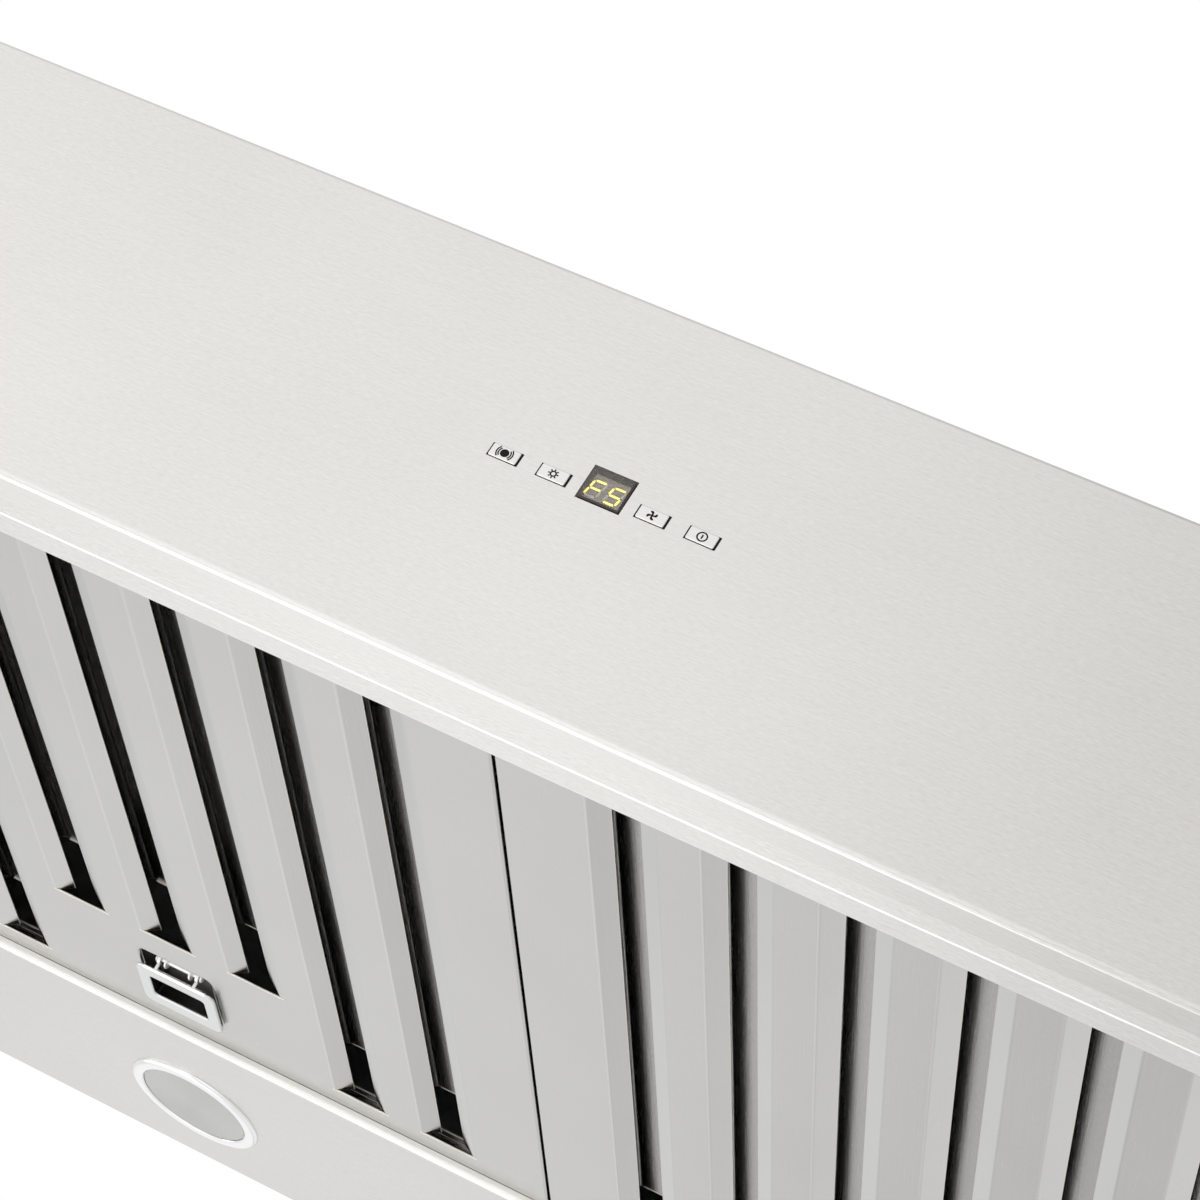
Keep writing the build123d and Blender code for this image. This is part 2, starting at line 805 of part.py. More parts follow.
def make_motor_plate():
    plate, _ = volute_outline(volute_top_z, motor_plate_rim)
    with BuildPart() as motor_plate:
        extrude(plate, amount=sheet)
        with BuildSketch(Plane((-wheel_x, wheel_y, volute_top_z))):
            Circle(shaft_r)
            with Locations((0, motor_r + grommet_r)):
                Circle(grommet_r)
        extrude(amount=sheet, mode=Mode.SUBTRACT)
    return motor_plate.part


def make_motor():
    low_z = volute_top_z - motor_height
    tail_z = hub_z - shaft_tail
    with BuildPart() as motor:
        with BuildSketch(Plane((-wheel_x, wheel_y, low_z))):
            Circle(motor_r)
        extrude(amount=motor_height)
        chamfer(motor.edges().group_by(Axis.Z)[0], motor_edge)
        with BuildSketch(Plane((-wheel_x, wheel_y, low_z - motor_boss))):
            Circle(motor_boss_r)
        extrude(amount=motor_boss)
        with BuildSketch(Plane((-wheel_x, wheel_y, tail_z))):
            Circle(shaft_r)
        extrude(amount=low_z - tail_z)
    return motor.part


def make_blower_wheel():
    """Forward curved blades between a rim and a dished back plate."""
    root_r = blade_inner_r + blade_inset
    tip_r = wheel_r - blade_inset
    lean = radians(blade_lean)
    middle = (root_r + tip_r) / 2
    with BuildSketch() as blade:
        with BuildLine():
            curve = Polyline(
                (root_r, 0),
                (middle * cos(lean * blade_belly), middle * sin(lean * blade_belly)),
                (tip_r * cos(lean), tip_r * sin(lean)),
            )
            offset(curve, amount=blade_thickness, side=Side.RIGHT, kind=Kind.INTERSECTION)
        make_face()
    dish_path = [
        (wheel_r, wheel_top_z),
        (dish_top_r, wheel_top_z),
        (dish_foot_r, hub_plate_z),
        (shaft_r + wheel_sheet, hub_plate_z),
    ]
    with BuildPart() as wheel:
        with BuildSketch(Plane((-wheel_x, wheel_y, wheel_z))):
            Circle(wheel_r)
            Circle(blade_inner_r, mode=Mode.SUBTRACT)
        extrude(amount=ring_thickness)
        dish = creased_sheet(wheel_section(), dish_path, wheel_sheet, Side.LEFT)
        revolve(dish, axis=wheel_axis())
        with BuildSketch(Plane((-wheel_x, wheel_y, wheel_z + ring_thickness))):
            with PolarLocations(0, blade_count):
                add(blade.sketch)
        extrude(amount=wheel_height - ring_thickness - wheel_sheet)
        with BuildSketch(Plane((-wheel_x, wheel_y, hub_z))):
            Circle(hub_r)
        extrude(amount=hub_height)
        with BuildSketch(Plane((-wheel_x, wheel_y, hub_z))):
            Circle(shaft_r + shaft_fit)
        extrude(amount=hub_height, mode=Mode.SUBTRACT)
    return wheel.part


def make_isolators():
    with BuildPart() as isolators:
        for side in (-1, 1):
            with BuildSketch(Plane((side * wheel_x, wheel_y, motor_plate_z))):
                with PolarLocations(isolator_circle_r, 4, start_angle=45):
                    Circle(isolator_r)
            extrude(amount=top_panel_z - motor_plate_z)
    return isolators.part


def make_plenum():
    low_z = base_z + plenum_floor
    _, tongue = volute_outline(volute_z)
    top_y = volute_step / 2 + volute_r + 3 * volute_step
    with BuildPart() as plenum:
        with BuildSketch(Plane.XY.offset(low_z)):
            with Locations((0, duct_y)):
                Rectangle(2 * plenum_half, plenum_length)
        extrude(amount=top_panel_z - low_z)
        with BuildSketch(Plane.XY.offset(low_z + sheet)):
            with Locations((0, duct_y)):
                Rectangle(2 * (plenum_half - sheet), plenum_length - 2 * sheet)
        extrude(amount=top_panel_z - low_z, mode=Mode.SUBTRACT)
        # Fixing flanges at the front and the rear
        with BuildSketch(Plane.XY.offset(top_panel_z - sheet)):
            with Locations((0, duct_y)):
                Rectangle(2 * plenum_half, plenum_length + 2 * plenum_flange)
                Rectangle(2 * plenum_half, plenum_length, mode=Mode.SUBTRACT)
        extrude(amount=sheet)
        # Windows that the volutes blow through
        with BuildSketch(Plane.YZ.offset(-plenum_half)):
            window_y = wheel_y + (tongue[1] + top_y) / 2
            with Locations((window_y, (volute_z + volute_top_z) / 2)):
                window_width = top_y - tongue[1] - 2 * volute_sheet
                Rectangle(window_width, volute_height - 2 * volute_sheet)
        extrude(amount=2 * plenum_half, mode=Mode.SUBTRACT)
    return plenum.part


# Duct collar and damper
def make_duct_collar():
    low_z = top_panel_z + sheet
    with BuildPart() as collar:
        with BuildSketch(Plane((0, duct_y, low_z))):
            Circle(collar_r + collar_flange)
        extrude(amount=sheet)
        with BuildSketch(Plane((0, duct_y, low_z))):
            Circle(collar_r)
        extrude(amount=collar_height)
        with BuildSketch(Plane((0, duct_y, low_z))):
            Circle(collar_r - sheet)
        extrude(amount=collar_height, mode=Mode.SUBTRACT)
        with BuildSketch(Plane.YZ.offset(-collar_r)):
            with Locations((duct_y, damper_z)):
                Circle(rod_r + rod_fit)
        extrude(amount=2 * collar_r, mode=Mode.SUBTRACT)
        # Stops that the closed flaps rest on
        stop_z = damper_z - flap_sheet / 2 - fit_gap - sheet
        with BuildSketch(Plane((0, duct_y, stop_z))):
            with PolarLocations(collar_r - sheet / 2, 4, start_angle=45):
                Rectangle(*stop_size, align=(Align.MAX, Align.CENTER))
        extrude(amount=sheet)
    return collar.part


def make_damper_rod():
    with BuildPart() as rod:
        with BuildSketch(Plane.YZ.offset(-collar_r + rod_inset)):
            with Locations((duct_y, damper_z)):
                Circle(rod_r)
        extrude(amount=2 * (collar_r - rod_inset))
    return rod.part


def make_damper_flap(side):
    """Half round flap, side -1 at the front, with its knuckles on the rod."""
    knuckles = (-1.5, 0.5) if side < 0 else (-0.5, 1.5)
    pitch = knuckle_length + knuckle_gap
    with BuildPart() as flap:
        with BuildSketch(Plane((0, duct_y, damper_z - flap_sheet / 2))):
            Circle(flap_r)
            with Locations((0, side * (knuckle_gap + flap_knuckle_r - rod_r))):
                edge = Align.MAX if side > 0 else Align.MIN
                Rectangle(3 * flap_r, 3 * flap_r, align=(Align.CENTER, edge), mode=Mode.SUBTRACT)
        extrude(amount=flap_sheet)
        # The plate is notched round the other flap's knuckles
        for start in knuckles:
            with BuildSketch(Plane.YZ.offset(start * pitch - knuckle_length / 2)):
                with Locations((duct_y, damper_z)):
                    Circle(flap_knuckle_r)
            extrude(amount=knuckle_length)
        for start in (-2.5, -1.5, -0.5, 0.5, 1.5, 2.5):
            if start in knuckles:
                continue
            with BuildSketch(Plane.YZ.offset(start * pitch - pitch / 2 - knuckle_gap)):
                with Locations((duct_y, damper_z)):
                    Circle(flap_knuckle_r + knuckle_gap)
            extrude(amount=pitch + 2 * knuckle_gap, mode=Mode.SUBTRACT)
        with BuildSketch(Plane.YZ.offset(-2 * flap_r)):
            with Locations((duct_y, damper_z)):
                Circle(rod_r + rod_fit)
        extrude(amount=4 * flap_r, mode=Mode.SUBTRACT)
    return flap.part


# Lamps, made for the left side and mirrored to the right
def lamp_plane(z):
    return Plane((-lamp_x, lamp_y, z))


def make_lamp_bezel():
    with BuildPart() as bezel:
        with BuildSketch(lamp_plane(base_z - bezel_thickness)):
            Circle(bezel_r)
        extrude(amount=bezel_thickness)
        chamfer(bezel.faces().sort_by(Axis.Z)[0].edges(), bezel_edge)
        with BuildSketch(lamp_plane(base_z - bezel_thickness)):
            Circle(bezel_inner_r)
        extrude(amount=bezel_thickness, mode=Mode.SUBTRACT)
    return bezel.part


def make_lamp_lens():
    with BuildPart() as lens:
        with BuildSketch(lamp_plane(base_z)):
            Circle(lens_r)
        extrude(amount=-lens_thickness)
    return lens.part


def make_lamp_body():
    with BuildPart() as body:
        with BuildSketch(lamp_plane(base_z)):
            Circle(lamp_body_r)
        extrude(amount=lamp_body_height)
        with BuildSketch(lamp_plane(base_z + sheet)):
            Circle(lamp_flange_r)
        extrude(amount=2 * sheet)
        fin_pitch = (lamp_body_height - 4 * sheet) / lamp_fins
        for fin in range(lamp_fins):
            groove_z = base_z + 4 * sheet + fin * fin_pitch
            with BuildSketch(lamp_plane(groove_z)):
                Circle(lamp_body_r)
                Circle(lamp_body_r - fin_depth, mode=Mode.SUBTRACT)
            extrude(amount=fin_pitch / 2, mode=Mode.SUBTRACT)
    return body.part


# Electrical parts
def make_terminal_box():
    with BuildPart() as box:
        with BuildSketch(Plane((box_x, box_y, top_panel_z - box_depth))):
            Rectangle(*box_size)
        extrude(amount=box_depth)
        fillet(box.edges().filter_by(Axis.Z), bend)
        offset(amount=-sheet, openings=box.faces().sort_by(Axis.Z)[0])
        with BuildSketch(Plane((box_x, box_y, top_panel_z - sheet))):
            Circle(gland_hole_r)
        extrude(amount=sheet, mode=Mode.SUBTRACT)
    return box.part


def make_terminal_cover():
    low_z = top_panel_z - box_depth - sheet
    with BuildPart() as cover:
        with BuildSketch(Plane((box_x, box_y, low_z))):
            RectangleRounded(box_size[0], box_size[1], bend)
        extrude(amount=sheet)
        # Lips that slip inside the box
        lip_x = box_size[0] / 2 - 1.5 * sheet - fit_gap
        with BuildSketch(Plane((box_x, box_y, low_z))):
            with Locations((-lip_x, 0), (lip_x, 0)):
                Rectangle(sheet, box_size[1] / 2)
        extrude(amount=box_lip)
    return cover.part


def make_terminal_block():
    length, depth_y, tall = block_size
    high_z = top_panel_z - sheet
    block_y = box_y + box_size[1] / 2 - sheet - fit_gap - depth_y / 2
    with BuildPart() as block:
        with BuildSketch(Plane((box_x, block_y, high_z - tall))):
            Rectangle(length, depth_y)
        extrude(amount=tall)
        with BuildSketch(Plane((box_x, block_y, high_z - tall))):
            with GridLocations(length / block_poles, 0, block_poles, 1):
                Circle(terminal_r)
        extrude(amount=terminal_depth, mode=Mode.SUBTRACT)
    return block.part


def make_capacitors():
    length, depth_y, tall = capacitor_size
    with BuildPart() as capacitors:
        with BuildSketch(Plane((box_x, box_y - capacitor_spacing, top_panel_z - sheet - tall))):
            with GridLocations(length + fit_gap + sheet, 0, 2, 1):
                RectangleRounded(length, depth_y, bend)
        extrude(amount=tall)
    return capacitors.part


def make_cable_gland():
    above_z = top_panel_z + sheet
    below_z = top_panel_z - sheet
    with BuildPart() as gland:
        with BuildSketch(Plane((box_x, box_y, below_z - gland_locknut))):
            Circle(gland_hole_r - gland_fit)
        extrude(amount=above_z - below_z + gland_locknut)
        with BuildSketch(Plane((box_x, box_y, below_z - gland_locknut))):
            RegularPolygon(gland_nut_r, 6, major_radius=False)
        extrude(amount=gland_locknut)
        with BuildSketch(Plane((box_x, box_y, above_z))):
            RegularPolygon(gland_nut_r, 6, major_radius=False)
        extrude(amount=gland_dome / 2)
        with BuildSketch(Plane((box_x, box_y, above_z))):
            Circle(gland_nut_r - sheet)
        extrude(amount=gland_dome)
        chamfer(gland.faces().sort_by(Axis.Z)[-1].edges(), bend)
        with BuildSketch(Plane((box_x, box_y, above_z + gland_dome))):
            Circle(gland_bore_r)
        extrude(amount=-gland_seal, mode=Mode.SUBTRACT)
        with BuildSketch(Plane((box_x, box_y, above_z + gland_dome - gland_seal))):
            Circle(gland_body_r)
        extrude(amount=-gland_dome - gland_locknut - 2 * sheet, mode=Mode.SUBTRACT)
    return gland.part


def make_led_driver():
    with BuildPart() as driver:
        with BuildSketch(Plane((-box_x, box_y, top_panel_z - driver_height))):
            Rectangle(*driver_size)
        extrude(amount=driver_height)
        fillet(driver.edges().filter_by(Axis.Z), bend)
        with BuildSketch(Plane((-box_x, box_y, top_panel_z - driver_ear_thickness))):
            Rectangle(driver_size[0] + 2 * driver_ear, driver_size[1] / 2)
            with GridLocations(driver_size[0] + driver_ear, 0, 2, 1):
                Circle(stud_r + pocket_play, mode=Mode.SUBTRACT)
        extrude(amount=driver_ear_thickness)
    return driver.part


save(make_front_panel(), "front_panel")
right_side = make_side_panel()
save(mirrored(right_side), "left_side_panel")
save(right_side, "right_side_panel")
save(make_top_panel(), "top_panel")
save(make_back_panel(), "back_panel")
save(make_rear_panel(), "rear_panel")

for side_name, center_x in (("left", -filter_x), ("right", filter_x)):
    save(make_filter_tray(center_x), f"{side_name}_filter_tray")
    save(make_rear_baffles(center_x), f"{side_name}_rear_baffles")
    save(make_handle_dish(center_x), f"{side_name}_handle_dish")
    save(make_handle_pin(center_x), f"{side_name}_handle_pin")
    save(make_handle(center_x), f"{side_name}_handle")

for button_name, button_slot in zip(button_names, button_slots):
    save(make_button(button_slot), button_name)
save(make_display_window(), "display_window")
save(make_display_module(), "display_module")
save(make_control_frame(), "control_frame")
save(make_control_board(), "control_board")
save(make_tact_switches(), "tact_switches")
save(make_control_cover(), "control_cover")
save(make_control_nuts(), "control_nuts")

for piece_name, make_piece in (
    ("volute", make_volute),
    ("motor_plate", make_motor_plate),
    ("motor", make_motor),
    ("blower_wheel", make_blower_wheel),
    ("lamp_bezel", make_lamp_bezel),
    ("lamp_lens", make_lamp_lens),
    ("lamp_body", make_lamp_body),
):
    left_piece = make_piece()
    save(mirrored(left_piece), f"right_{piece_name}")
    save(left_piece, f"left_{piece_name}")
save(make_isolators(), "blower_isolators")
save(make_plenum(), "plenum")

save(make_duct_collar(), "duct_collar")
save(make_damper_rod(), "damper_rod")
save(make_damper_flap(-1), "front_damper_flap")
save(make_damper_flap(1), "rear_damper_flap")

save(make_terminal_box(), "terminal_box")
save(make_terminal_cover(), "terminal_cover")
save(make_terminal_block(), "terminal_block")
save(make_capacitors(), "motor_capacitors")
save(make_cable_gland(), "cable_gland")
save(make_led_driver(), "led_driver")
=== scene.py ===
import math

import bmesh
import bpy
from mathutils import Matrix, Vector


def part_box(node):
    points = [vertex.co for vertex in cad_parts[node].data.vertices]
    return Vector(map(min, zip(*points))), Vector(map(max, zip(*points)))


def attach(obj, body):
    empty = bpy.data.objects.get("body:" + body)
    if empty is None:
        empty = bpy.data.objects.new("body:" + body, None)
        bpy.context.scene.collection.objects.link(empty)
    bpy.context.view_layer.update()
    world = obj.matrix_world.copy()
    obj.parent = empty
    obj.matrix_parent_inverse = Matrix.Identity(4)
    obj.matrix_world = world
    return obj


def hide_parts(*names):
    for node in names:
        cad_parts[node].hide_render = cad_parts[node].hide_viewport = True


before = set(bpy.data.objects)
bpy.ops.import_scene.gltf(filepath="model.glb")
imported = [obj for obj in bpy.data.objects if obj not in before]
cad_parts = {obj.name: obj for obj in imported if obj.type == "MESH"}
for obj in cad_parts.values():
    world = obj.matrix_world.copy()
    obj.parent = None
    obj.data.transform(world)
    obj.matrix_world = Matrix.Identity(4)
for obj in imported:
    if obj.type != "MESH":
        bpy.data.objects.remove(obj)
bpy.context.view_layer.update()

# Camera: a close view from the cook's side, below the hood and to its right,
# with the camera rolled so that the hood's front edge falls to the right.
# The lens and the three directions are those of the photograph.
def placed(name, data):
    """An object with this data, in the scene."""
    made = bpy.data.objects.new(name, data)
    bpy.context.scene.collection.objects.link(made)
    return made


camera_right = 0.3535
camera_before = 0.9341
camera_below = 0.483
camera_data = bpy.data.cameras.new("camera")
camera_data.sensor_width = 36.0
camera_data.lens = 102.17
camera_data.clip_end = 30.0
camera = placed("camera", camera_data)
view_right = Vector((0.87606, 0.03966, 0.48056))
view_up = Vector((-0.38008, -0.55652, 0.73880))
view_back = view_right.cross(view_up)
panel_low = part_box("front_panel")[0]
camera_place = Vector((camera_right, panel_low.y - camera_before, panel_low.z - camera_below))
turn = Matrix((view_right, view_up, view_back)).transposed()
camera.matrix_world = Matrix.Translation(camera_place) @ turn.to_4x4()
bpy.context.scene.camera = camera


# Stainless sheet of the body: brushed along the hood, so that a fine grain of
# paler and darker streaks runs along it, with a slight relief. Where the sheet
# is cut, a narrow bright edge shows.
class Shade:
    """A socket of a material's nodes, with arithmetic."""

    def __init__(self, tree, socket=None):
        self.tree = tree
        self.socket = socket

    def node(self, kind, values=None, out=0, **settings):
        made = self.tree.nodes.new(kind)
        stops = settings.pop("stops", None)
        for name, value in settings.items():
            setattr(made, name, value)
        if stops:
            ramp = made.color_ramp.elements
            while len(ramp) < len(stops):
                ramp.new(0.5)
            for element, (place, colour) in zip(ramp, stops):
                element.position = place
                element.color = (*colour, 1.0)
        for name, value in (values or {}).items():
            target = made.inputs[name]
            if isinstance(value, Shade):
                self.tree.links.new(value.socket, target)
            else:
                target.default_value = value
        return Shade(self.tree, made.outputs[out])

    def maths(self, operation, other=0.0, swap=False):
        pair = (other, self) if swap else (self, other)
        return self.node("ShaderNodeMath", {0: pair[0], 1: pair[1]}, operation=operation)

    def blend(self, low, high):
        """A colour from low to high as this value goes from 0 to 1."""
        pair = {0: self, 6: low, 7: high}
        pair = {k: (*v, 1.0) if isinstance(v, tuple) else v for k, v in pair.items()}
        return self.node("ShaderNodeMix", pair, out=2, data_type="RGBA")

    def __add__(self, other):
        return self.maths("ADD", other)

    __radd__ = __add__

    def __sub__(self, other):
        return self.maths("SUBTRACT", other)

    def __rsub__(self, other):
        return self.maths("SUBTRACT", other, swap=True)

    def __mul__(self, other):
        return self.maths("MULTIPLY", other)

    __rmul__ = __mul__

    def __truediv__(self, other):
        return self.maths("DIVIDE", other)

    def __rpow__(self, other):
        return self.maths("POWER", other, swap=True)


def new_material(name, metallic, roughness):
    """A material with its shader, a start for its nodes, and the place on the piece."""
    material = bpy.data.materials.new(name)
    material.use_nodes = True
    skin = material.node_tree.nodes["Principled BSDF"]
    skin.inputs["Metallic"].default_value = metallic
    skin.inputs["Roughness"].default_value = roughness
    place = Shade(material.node_tree).node("ShaderNodeTexCoord", out=3)
    return material, skin, place


def feed(skin, name, value):
    value.tree.links.new(value.socket, skin.inputs[name])


def noise(place, scale, detail, **more):
    """Noise at this scale over the place given."""
    return place.node("ShaderNodeTexNoise", {"Vector": place, "Scale": scale, "Detail": detail, **more})


def bump(height, strength, distance, **more):
    sockets = {"Height": height, "Strength": strength, "Distance": distance, **more}
    return height.node("ShaderNodeBump", sockets)


long_streak = (1100.0, 25.0)
short_streak = (1900.0, 350.0)


def brushed_steel(
    name, colour, along, roughness, streak, relief, cloud=0.04, painted_end_shade=0.0, soften=None, metal=1.0,
):
    """Brushed sheet: noise drawn out along the grain, over a slow clouding."""
    material, skin, place = new_material(name, metal, roughness)

    def drawn(across, lengthwise):
        squeeze = [across - (across - lengthwise) * abs(a) for a in along]
        return place.node("ShaderNodeVectorMath", {0: place, 1: squeeze}, operation="MULTIPLY")

    grain = noise(drawn(*long_streak), 1.0, 5.0, Roughness=0.7)
    slow = noise(place, 9.0, 3.0)
    fine = noise(drawn(*short_streak), 1.0, 2.0)
    level = (grain - 0.5) * (2 * streak) + (fine - 0.5) * (3 * streak) + (slow - 0.5) * (2 * cloud) + 1.0
    # Where painted_end_shade is given, the colour darkens towards the hood's right end: painted shade.
    if painted_end_shade:
        reach = place.node("ShaderNodeSeparateXYZ", {0: place})
        level = level - painted_end_shade * reach.node(
            "ShaderNodeMapRange", {0: reach, 1: 0.02, 2: 0.26}, interpolation_type="SMOOTHSTEP",
        )
    paint = place.node("ShaderNodeVectorMath", {0: colour, 3: level}, operation="SCALE")
    feed(skin, "Base Color", paint)
    feed(skin, "Roughness", (grain - 0.5) * 0.14 + roughness)
    turned = {}
    if soften:
        facing = place.node("ShaderNodeNewGeometry", out=1)
        eased = place.node("ShaderNodeVectorMath", {0: facing, 1: soften}, operation="ADD")
        turned["Normal"] = place.node("ShaderNodeVectorMath", {0: eased}, operation="NORMALIZE")
    feed(skin, "Normal", bump(grain, relief, 0.0002, **turned))
    return material


def dress(material, *nodes):
    for node in nodes:
        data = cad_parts[node].data
        data.materials.clear()
        data.materials.append(material)


sides = ("left", "right")
steel = brushed_steel("brushed_steel", (0.80, 0.785, 0.76), (1, 0, 0), 0.25, 0.06, 0.18)
cut_steel = brushed_steel("cut_edge", (0.86, 0.84, 0.78), (0, 0, 1), 0.32, 0.04, 0.1)
upright_steel = brushed_steel("side_steel", (0.78, 0.77, 0.75), (0, 1, 0), 0.27, 0.06, 0.18)
dress(upright_steel, "left_side_panel", "right_side_panel")
dress(steel, "top_panel")


# Front panel: one steel sheet folded back at its four edges, with windows for
# the buttons and the display. The lip under it runs back to a raised crease,
# and from there the ledge that carries the filters rises.
def millimetres(node):
    """The two corners of a node's box."""
    return [corner * 1000 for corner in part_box(node)]


def side_stations(low, high, cuts, radius, wall, steps=9):
    """Stations across a pan: wall, rounded edge, face with its cuts, edge, wall."""
    arc = [math.pi / 2 * k / steps for k in range(1, steps + 1)]
    inner = (low + radius, high - radius)
    rows = [(inner[0], -math.pi / 2, wall)]
    rows += [(inner[0], -a, 0.0) for a in reversed(arc)]
    rows += [(u, 0.0, 0.0) for u in sorted({*inner, *cuts})]
    rows += [(inner[1], a, 0.0) for a in arc]
    return rows + [(inner[1], math.pi / 2, wall)]


def pan_skin(mesh, place, columns, rows, radius, holes=()):
    """Face with holes, rounded edges, ball corners and walls, as one skin."""
    grid = []
    for u, a, wall_u in columns:
        line = []
        for v, b, wall_v in rows:
            depth = radius * (math.cos(a) * math.cos(b) - 1) - max(wall_u, wall_v)
            at = (u + radius * math.sin(a) * math.cos(b), v + radius * math.sin(b), depth)
            line.append(mesh.verts.new(place(*at)))
        grid.append(line)
    for i in range(len(columns) - 1):
        for j in range(len(rows) - 1):
            pair_u, pair_v = columns[i:i + 2], rows[j:j + 2]
            on_face = not any(a for _, a, _ in pair_u)
            if any(wall for _, _, wall in pair_v) and not on_face:
                continue
            middle = [(pair[0][0] + pair[1][0]) / 2 for pair in (pair_u, pair_v)]
            flat = on_face and not any(b for _, b, _ in pair_v)
            if flat and any(u0 < middle[0] < u1 and v0 < middle[1] < v1 for u0, v0, u1, v1 in holes):
                continue
            cell = (grid[i][j], grid[i + 1][j], grid[i + 1][j + 1], grid[i][j + 1])
            mesh.faces.new(cell)


def bend_line(corners, radii, steps=8):
    """Points along a folded line, with an arc at each inner corner."""
    corners = [Vector(corner) for corner in corners]
    line = [corners[0]]
    for before, corner, after, radius in zip(corners, corners[1:], corners[2:], radii):
        arrive, leave = (corner - before).normalized(), (after - corner).normalized()
        angle = math.atan2(arrive.cross(leave), arrive.dot(leave))
        start = corner - arrive * radius * math.tan(abs(angle) / 2)
        centre = start + Vector((-arrive.y, arrive.x)) * math.copysign(radius, angle)
        for k in range(steps + 1):
            line.append(centre + Matrix.Rotation(angle * k / steps, 2) @ (start - centre))
    return line + [corners[-1]]


def strip_skin(mesh, place, line, stations):
    """A strip whose section is the line, through the stations."""
    grid = [[mesh.verts.new(place(point, s)) for point in line] for s in stations]
    for near, far in zip(grid, grid[1:]):
        for k in range(len(line) - 1):
            mesh.faces.new((near[k], near[k + 1], far[k + 1], far[k]))


def make_piece(name, mesh, body, materials, nodes=(), sheet=0.0, toward=None, bevel=0.0):
    """Turns a mesh in millimetres into a piece: thickened, rounded and shaded."""
    bmesh.ops.remove_doubles(mesh, verts=mesh.verts, dist=1e-4)
    bmesh.ops.recalc_face_normals(mesh, faces=mesh.faces)
    if toward:
        facing = sum((face.normal * face.calc_area() for face in mesh.faces), Vector())
        if facing.dot(Vector(toward)) < 0:
            bmesh.ops.reverse_faces(mesh, faces=mesh.faces)
    bmesh.ops.scale(mesh, vec=(0.001, 0.001, 0.001), verts=mesh.verts)
    data = bpy.data.meshes.new(name)
    mesh.to_mesh(data)
    mesh.free()
    piece = placed(name, data)
    for material in materials:
        data.materials.append(material)
    if sheet:
        thicken = piece.modifiers.new("sheet", "SOLIDIFY")
        thicken.thickness = sheet / 1000
        thicken.offset = -1.0
        thicken.use_even_offset = True
        thicken.material_offset_rim = len(materials) - 1
    if bevel:
        rounding = piece.modifiers.new("edges", "BEVEL")
        rounding.width = bevel / 1000
        rounding.segments = 3
        rounding.limit_method = "ANGLE"
        rounding.angle_limit = math.radians(40)
        rounding.material = len(materials) - 1 if sheet else -1
    if piece.modifiers:
        formed = piece.evaluated_get(bpy.context.evaluated_depsgraph_get())
        piece.data = bpy.data.meshes.new_from_object(formed)
        piece.modifiers.clear()
    piece.data.shade_smooth()
    piece.data.set_sharp_from_angle(angle=math.radians(32))
    weigh = piece.modifiers.new("normals", "WEIGHTED_NORMAL")
    weigh.keep_sharp = True
    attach(piece, body)
    if nodes:
        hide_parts(*nodes)
    return piece


front_low, front_high = millimetres("front_panel")
front_y = front_low.y
base_z = front_low.z
panel_bend = 2.35
return_depth = 15.0
lip_end = front_y + 26.4
lip_inset = 1.3
ledge_rise = 2.95
ledge_end = (front_high.y, base_z + ledge_rise)
button_pitch = 19.0
button_middle = base_z + 86.35
button_hole = (12.0, 5.8)
display_middle = base_z + 89.2
display_hole = (17.0, 15.0)
button_slots = (-2, -1, 1, 2)
windows = [(slot * button_pitch, button_middle, *button_hole) for slot in button_slots]
windows.append((0.0, display_middle, *display_hole))
windows = [(u - w / 2, v - h / 2, u + w / 2, v + h / 2) for u, v, w, h in windows]

lip_steel = brushed_steel("lip_steel", (0.80, 0.785, 0.76), (1, 0, 0), 0.25, 0.11, 0.18)
# The front face is painted darker towards its right end, as painted shade.
front_steel = brushed_steel("front_steel", (0.80, 0.785, 0.76), (1, 0, 0), 0.25, 0.06, 0.18, painted_end_shade=0.12)
mesh = bmesh.new()
cuts_u = {u for window in windows for u in (window[0], window[2])}
cuts_v = {v for window in windows for v in (window[1], window[3])}
wall = return_depth - panel_bend
columns = side_stations(front_low.x, front_high.x, cuts_u, panel_bend, wall)
rows = side_stations(front_low.z, front_high.z, cuts_v, panel_bend, wall)
pan_skin(mesh, lambda u, v, w: (u, front_y - w, v), columns, rows, panel_bend, windows)
crease = [(-0.95, 0.0), (-0.85, -0.01), (-0.1, -0.25), (0.0, -0.27), (0.12, -0.24), (0.7, 0.08)]
lip = [Vector((front_y + return_depth, base_z))]
lip += [Vector((lip_end + y, base_z + z)) for y, z in crease]
lip.append(Vector(ledge_end))
lip_reach = front_high.x - lip_inset
face_columns = [-lip_reach, *(u for u, a, _ in columns if not a), lip_reach]
before = len(mesh.faces)
strip_skin(mesh, lambda p, s: (s, p.x, p.y), lip, face_columns)
mesh.faces.ensure_lookup_table()
for face in mesh.faces[before:]:
    face.material_index = 1
make_piece(
    "front_panel_sheet", mesh, "hood", (front_steel, lip_steel, cut_steel),
    nodes=("front_panel",), sheet=1.0, toward=(0, -1, 0),
)

# Rear panel, in the same sheet: a wide soft bend at its front makes the rail
# that the filters rest on, hemmed back over. Two holes take the lamps.
rear_low, rear_high = millimetres("rear_panel")
lamp_centre = (190.5, -61.0)
lamp_hole = 30.0
rail_front = rear_low.y
rail_rise = 4.22
rail_bend = 2.4
rail_hem = 0.2
rail_return = 12.0


def round_point(centre, radius, angle):
    return (centre[0] + radius * math.cos(angle), centre[1] + radius * math.sin(angle))


def rounded_loop(middle, half, radius, steps=6):
    """Points round a rectangle with rounded corners."""
    points = []
    for quarter, (sign_u, sign_v) in enumerate(((1, 1), (-1, 1), (-1, -1), (1, -1))):
        centre = (
            middle[0] + sign_u * (half[0] - radius),
            middle[1] + sign_v * (half[1] - radius),
        )
        for k in range(steps + 1):
            angle = math.pi / 2 * (quarter + k / steps)
            points.append(round_point(centre, radius, angle))
    return points
